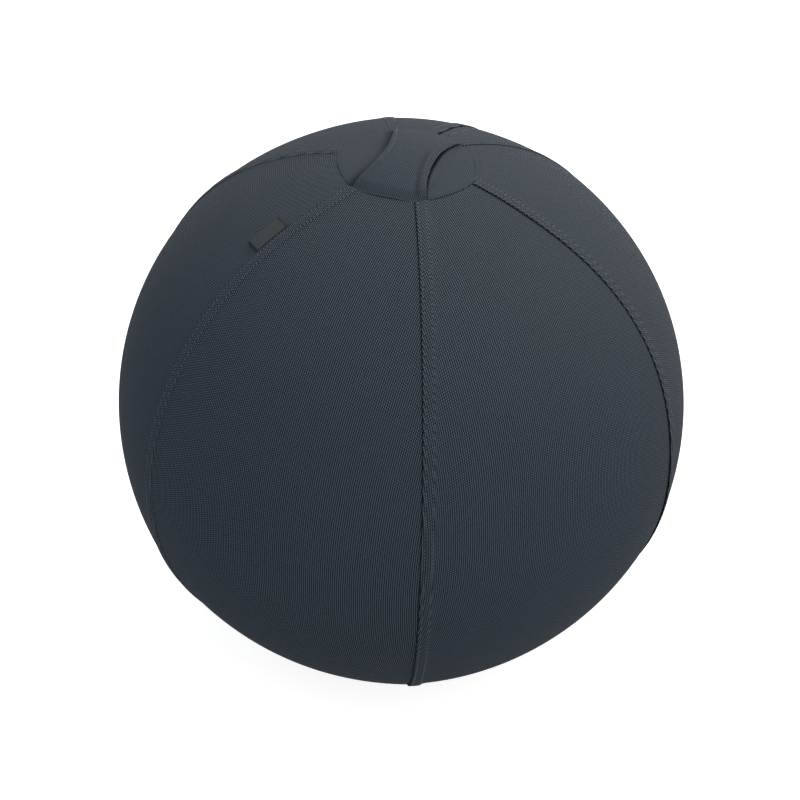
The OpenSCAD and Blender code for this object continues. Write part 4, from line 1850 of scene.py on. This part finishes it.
class SITTING_BALL_OT_zip_coil(bpy.types.Operator):
    """Wind the two rows of the zip's coil from one nylon wire each"""

    bl_idname = "sitting_ball.zip_coil"
    bl_label = "Zip coil"
    bl_options = {"REGISTER", "UNDO"}

    def execute(self, context):
        sizes = context.scene.ball_zip
        turns = (COIL_END - COIL_START) * ZIP_RADIUS / sizes.coil_pitch - 1
        points = int(turns) * COIL_STEPS
        # The left row lies half a pitch further down, so that its turns grip between the others
        for side, shift, name in ((1, 0.25, "zip_coil_right"), (-1, 0.75, "zip_coil_left")):
            mesh = bpy.data.meshes.new(name + "_wire")
            line = [(0.0, i * MM, 0.0) for i in range(points)]
            mesh.from_pydata(line, [(i, i + 1) for i in range(points - 1)], [])
            piece = new_piece(name + "_wire", mesh)
            values = {
                "Side": float(side),
                "Start": COIL_START + shift * sizes.coil_pitch / ZIP_RADIUS,
                "Pitch": sizes.coil_pitch,
                "Zip Radius": ZIP_RADIUS,
                "Middle": sizes.coil_width / 4 + 0.05 * MM,
                "Reach": sizes.coil_width / 4 - sizes.coil_wire / 2 + 0.15 * MM,
                "Rise": COIL_RISE,
                "Wire": sizes.coil_wire,
                "Centre Height": CENTRE.z,
                "Material": material_for(context, "Nylon wire"),
            }
            add_tree(piece, tree_named("Zip coil", coil_tree), values)
            settle(piece)
            put(piece, "cover", "zip_coil", name)
        return {"FINISHED"}


# The weight's pouch: its width, its foot in section, as shares of half its width and heights in
# millimetres, and the points on each circle
POUCH_WIDTH = 36 * MM
POUCH_FOOT = (
    (-1.0, 2.6), (-0.98, 0.8), (-0.93, 0.0), (0.0, 0.0), (0.93, 0.0), (0.98, 0.8), (1.0, 2.6),
)
POUCH_SEGMENTS = 160


class SITTING_BALL_OT_weight_ring(bpy.types.Operator):
    """Sew the ring-shaped pouch that holds the sand"""

    bl_idname = "sitting_ball.weight_ring"
    bl_label = "Weight ring"
    bl_options = {"REGISTER", "UNDO"}

    def execute(self, context):
        middle = POUCH_HIGH.x - POUCH_WIDTH / 2
        height = POUCH_HIGH.z - POUCH_LOW.z
        radius = (POUCH_WIDTH**2 / 4 + height**2) / (2 * height)
        dome = arc_points((middle, POUCH_HIGH.z - radius), radius, 8, 172, 17)
        foot = [(middle + d * POUCH_WIDTH / 2, POUCH_LOW.z + z * MM) for d, z in POUCH_FOOT]
        mesh = turned_cloth("ring_pouch_cloth", dome + foot, POUCH_SEGMENTS, 0)
        mesh.materials.append(material_for(context, "Pouch cloth"))
        mesh.shade_smooth()
        piece = new_piece("ring_pouch_cloth", mesh)
        put(piece, "cover", "pouch_fabric", "ring_pouch")
        return {"FINISHED"}


class SITTING_BALL_OT_hard_parts(bpy.types.Operator):
    """Give the inner ball, its valve, the sand and the zip's metal parts their finishes"""

    bl_idname = "sitting_ball.hard_parts"
    bl_label = "Hard parts"
    bl_options = {"REGISTER", "UNDO"}

    def execute(self, context):
        finishes = {
            "inner_ball": "Grey vinyl",
            "valve_seat": "Grey vinyl",
            "valve_plug": "White plastic",
            "ring_fill": "Sand",
            "zip_slider": "Enamelled metal",
            "zip_pull_tab": "Enamelled metal",
            "zip_stop_upper": "Enamelled metal",
            "zip_stops_lower": "Enamelled metal",
        }
        for node, name in finishes.items():
            dress(node, material_for(context, name))
        return {"FINISHED"}


def where_seen(tree, lighting, shown):
    """A shader that shows one thing to the camera and lights the ball with another."""
    path = tree.nodes.new("ShaderNodeLightPath")
    kinds = ("Is Camera Ray", "Is Glossy Ray", "Is Transmission Ray")
    camera, glossy, through = (Number(tree, path.outputs[kind]) for kind in kinds)
    seen = camera.at_least(glossy).at_least(through)
    pick = add_node(tree, "ShaderNodeMixShader", {"Fac": seen, 1: lighting, 2: shown})
    return pick.outputs["Shader"]


def direction(azimuth, elevation):
    """The way out from the ball, by the angle from its front towards the right, and upwards."""
    flat = math.cos(elevation)
    return Vector((math.sin(azimuth) * flat, -math.cos(azimuth) * flat, math.sin(elevation)))


def lamp(name, azimuth, elevation, distance, size, power, colour):
    """A square soft lamp that faces the ball."""
    light = bpy.data.lights.new(name, "AREA")
    light.size = size
    light.energy = power
    light.color = colour
    way = direction(math.radians(azimuth), math.radians(elevation))
    made = new_piece(name, light)
    made.location = CENTRE + way * distance
    made.rotation_euler = way.to_track_quat("Z", "Y").to_euler()


# Each lamp: direction and elevation in degrees, distance, size, power in watts and colour
LAMPS = {
    "key_lamp": (173, 50, 3.0, 2.5, 83.0, (1.0, 0.88, 0.71)),
    "right_lamp": (62, 42, 2.5, 2.0, 17.0, (1.0, 0.91, 0.82)),
}
# The floor as the camera sees it: its own light, and its answer to the lamps, which keeps the
# ball's shadow
FLOOR_GLOW = 0.8
FLOOR_SHADE = (0.62, 0.62, 0.62, 1.0)
FLOOR_CORNERS = 96


class SITTING_BALL_OT_studio(bpy.types.Operator):
    """Set up the pale floor, the soft lamps and the camera"""

    bl_idname = "sitting_ball.studio"
    bl_label = "Studio"
    bl_options = {"REGISTER", "UNDO"}

    def execute(self, context):
        stage = context.scene.ball_stage
        self.lay_floor(stage)
        context.scene.world = self.light_world(stage)
        for name, settings in LAMPS.items():
            lamp(name, *settings)
        context.scene.camera = self.set_camera(stage)
        context.scene.view_settings.view_transform = "Standard"
        return {"FINISHED"}

    @staticmethod
    def set_camera(stage):
        """The camera, which looks at the ball's centre."""
        lens = bpy.data.cameras.new("camera")
        lens.lens = stage.lens
        lens.shift_x, lens.shift_y = stage.camera_shift
        lens.clip_start = 10 * MM
        camera = new_piece("camera", lens)
        back = direction(stage.camera_azimuth, stage.camera_elevation)
        camera.location = CENTRE + back * stage.camera_distance
        roll = Quaternion((0, 0, 1), stage.camera_roll)
        camera.rotation_euler = (back.to_track_quat("Z", "Y") @ roll).to_euler()
        return camera

    @staticmethod
    def lay_floor(stage):
        """A round floor that looks white and keeps the ball's shadow."""
        mesh = bpy.data.meshes.new("floor")
        angles = np.linspace(0, 2 * math.pi, FLOOR_CORNERS, endpoint=False)
        ring = [(stage.floor_radius * math.cos(a), stage.floor_radius * math.sin(a), 0.0)
                for a in angles]
        mesh.from_pydata(ring, [], [list(range(FLOOR_CORNERS))])
        material, tree, shader = new_material("pale_floor", stage.floor_colour, 0.9)
        glow = add_node(tree, "ShaderNodeEmission", {"Strength": FLOOR_GLOW})
        shade = add_node(tree, "ShaderNodeBsdfDiffuse", {"Color": FLOOR_SHADE})
        both = {0: glow.outputs["Emission"], 1: shade.outputs["BSDF"]}
        shown = add_node(tree, "ShaderNodeAddShader", both).outputs["Shader"]
        surface = where_seen(tree, shader.outputs["BSDF"], shown)
        tree.links.new(surface, tree.nodes["Material Output"].inputs["Surface"])
        mesh.materials.append(material)
        floor = new_piece("floor", mesh)
        floor.location.z = -0.2 * MM

    @staticmethod
    def light_world(stage):
        """White where it is seen, and a moderate even light on the ball."""
        world = bpy.data.worlds.new("studio")
        world.use_nodes = True
        tree = world.node_tree
        even = tree.nodes["Background"]
        even.inputs["Color"].default_value = (*stage.even_colour, 1.0)
        even.inputs["Strength"].default_value = stage.even_strength
        white = add_node(tree, "ShaderNodeBackground", {"Color": (1.0, 1.0, 1.0, 1.0)})
        surface = where_seen(tree, even.outputs["Background"], white.outputs["Background"])
        tree.links.new(surface, tree.nodes["World Output"].inputs["Surface"])
        return world


class SITTING_BALL_PT_pieces(bpy.types.Panel):
    """Lists the pieces of the ball and their sizes"""

    bl_idname = "SITTING_BALL_PT_pieces"
    bl_label = "Sitting ball"
    bl_space_type = "VIEW_3D"
    bl_region_type = "UI"
    bl_category = "Sitting ball"

    def draw(self, context):
        layout = self.layout
        for operator in OPERATORS:
            layout.operator(operator.bl_idname)
        for name in PROPERTIES:
            group = getattr(context.scene, name)
            box = layout.box()
            for key in group.__annotations__:
                box.prop(group, key)


OPERATORS = (
    SITTING_BALL_OT_side_panels,
    SITTING_BALL_OT_seam_stitches,
    SITTING_BALL_OT_top_panel,
    SITTING_BALL_OT_base_panel,
    SITTING_BALL_OT_carrying_strap,
    SITTING_BALL_OT_side_tag,
    SITTING_BALL_OT_zip_tapes,
    SITTING_BALL_OT_zip_coil,
    SITTING_BALL_OT_weight_ring,
    SITTING_BALL_OT_hard_parts,
    SITTING_BALL_OT_studio,
)
PROPERTIES = {
    "ball_cover": CoverSizes,
    "ball_strap": StrapSizes,
    "ball_tag": TagSizes,
    "ball_zip": ZipSizes,
    "ball_stitches": StitchSizes,
    "ball_colours": FinishColours,
    "ball_stage": StageSizes,
}


def register():
    """Makes the operators, the panel and the ball's sizes known to Blender."""
    for group in PROPERTIES.values():
        bpy.utils.register_class(group)
    for kind in (*OPERATORS, SITTING_BALL_PT_pieces):
        bpy.utils.register_class(kind)
    for name, group in PROPERTIES.items():
        setattr(bpy.types.Scene, name, PointerProperty(type=group))


def unregister():
    """Takes all of it away again."""
    for name in PROPERTIES:
        delattr(bpy.types.Scene, name)
    for kind in (SITTING_BALL_PT_pieces, *reversed(OPERATORS)):
        bpy.utils.unregister_class(kind)
    for group in PROPERTIES.values():
        bpy.utils.unregister_class(group)


def main():
    """Dresses the frame piece by piece."""
    register()
    bpy.ops.sitting_ball.side_panels()
    bpy.ops.sitting_ball.seam_stitches()
    bpy.ops.sitting_ball.top_panel()
    bpy.ops.sitting_ball.base_panel()
    bpy.ops.sitting_ball.carrying_strap()
    bpy.ops.sitting_ball.side_tag()
    bpy.ops.sitting_ball.zip_tapes()
    bpy.ops.sitting_ball.zip_coil()
    bpy.ops.sitting_ball.weight_ring()
    bpy.ops.sitting_ball.hard_parts()
    bpy.ops.sitting_ball.studio()


if __name__ == "__main__":
    main()
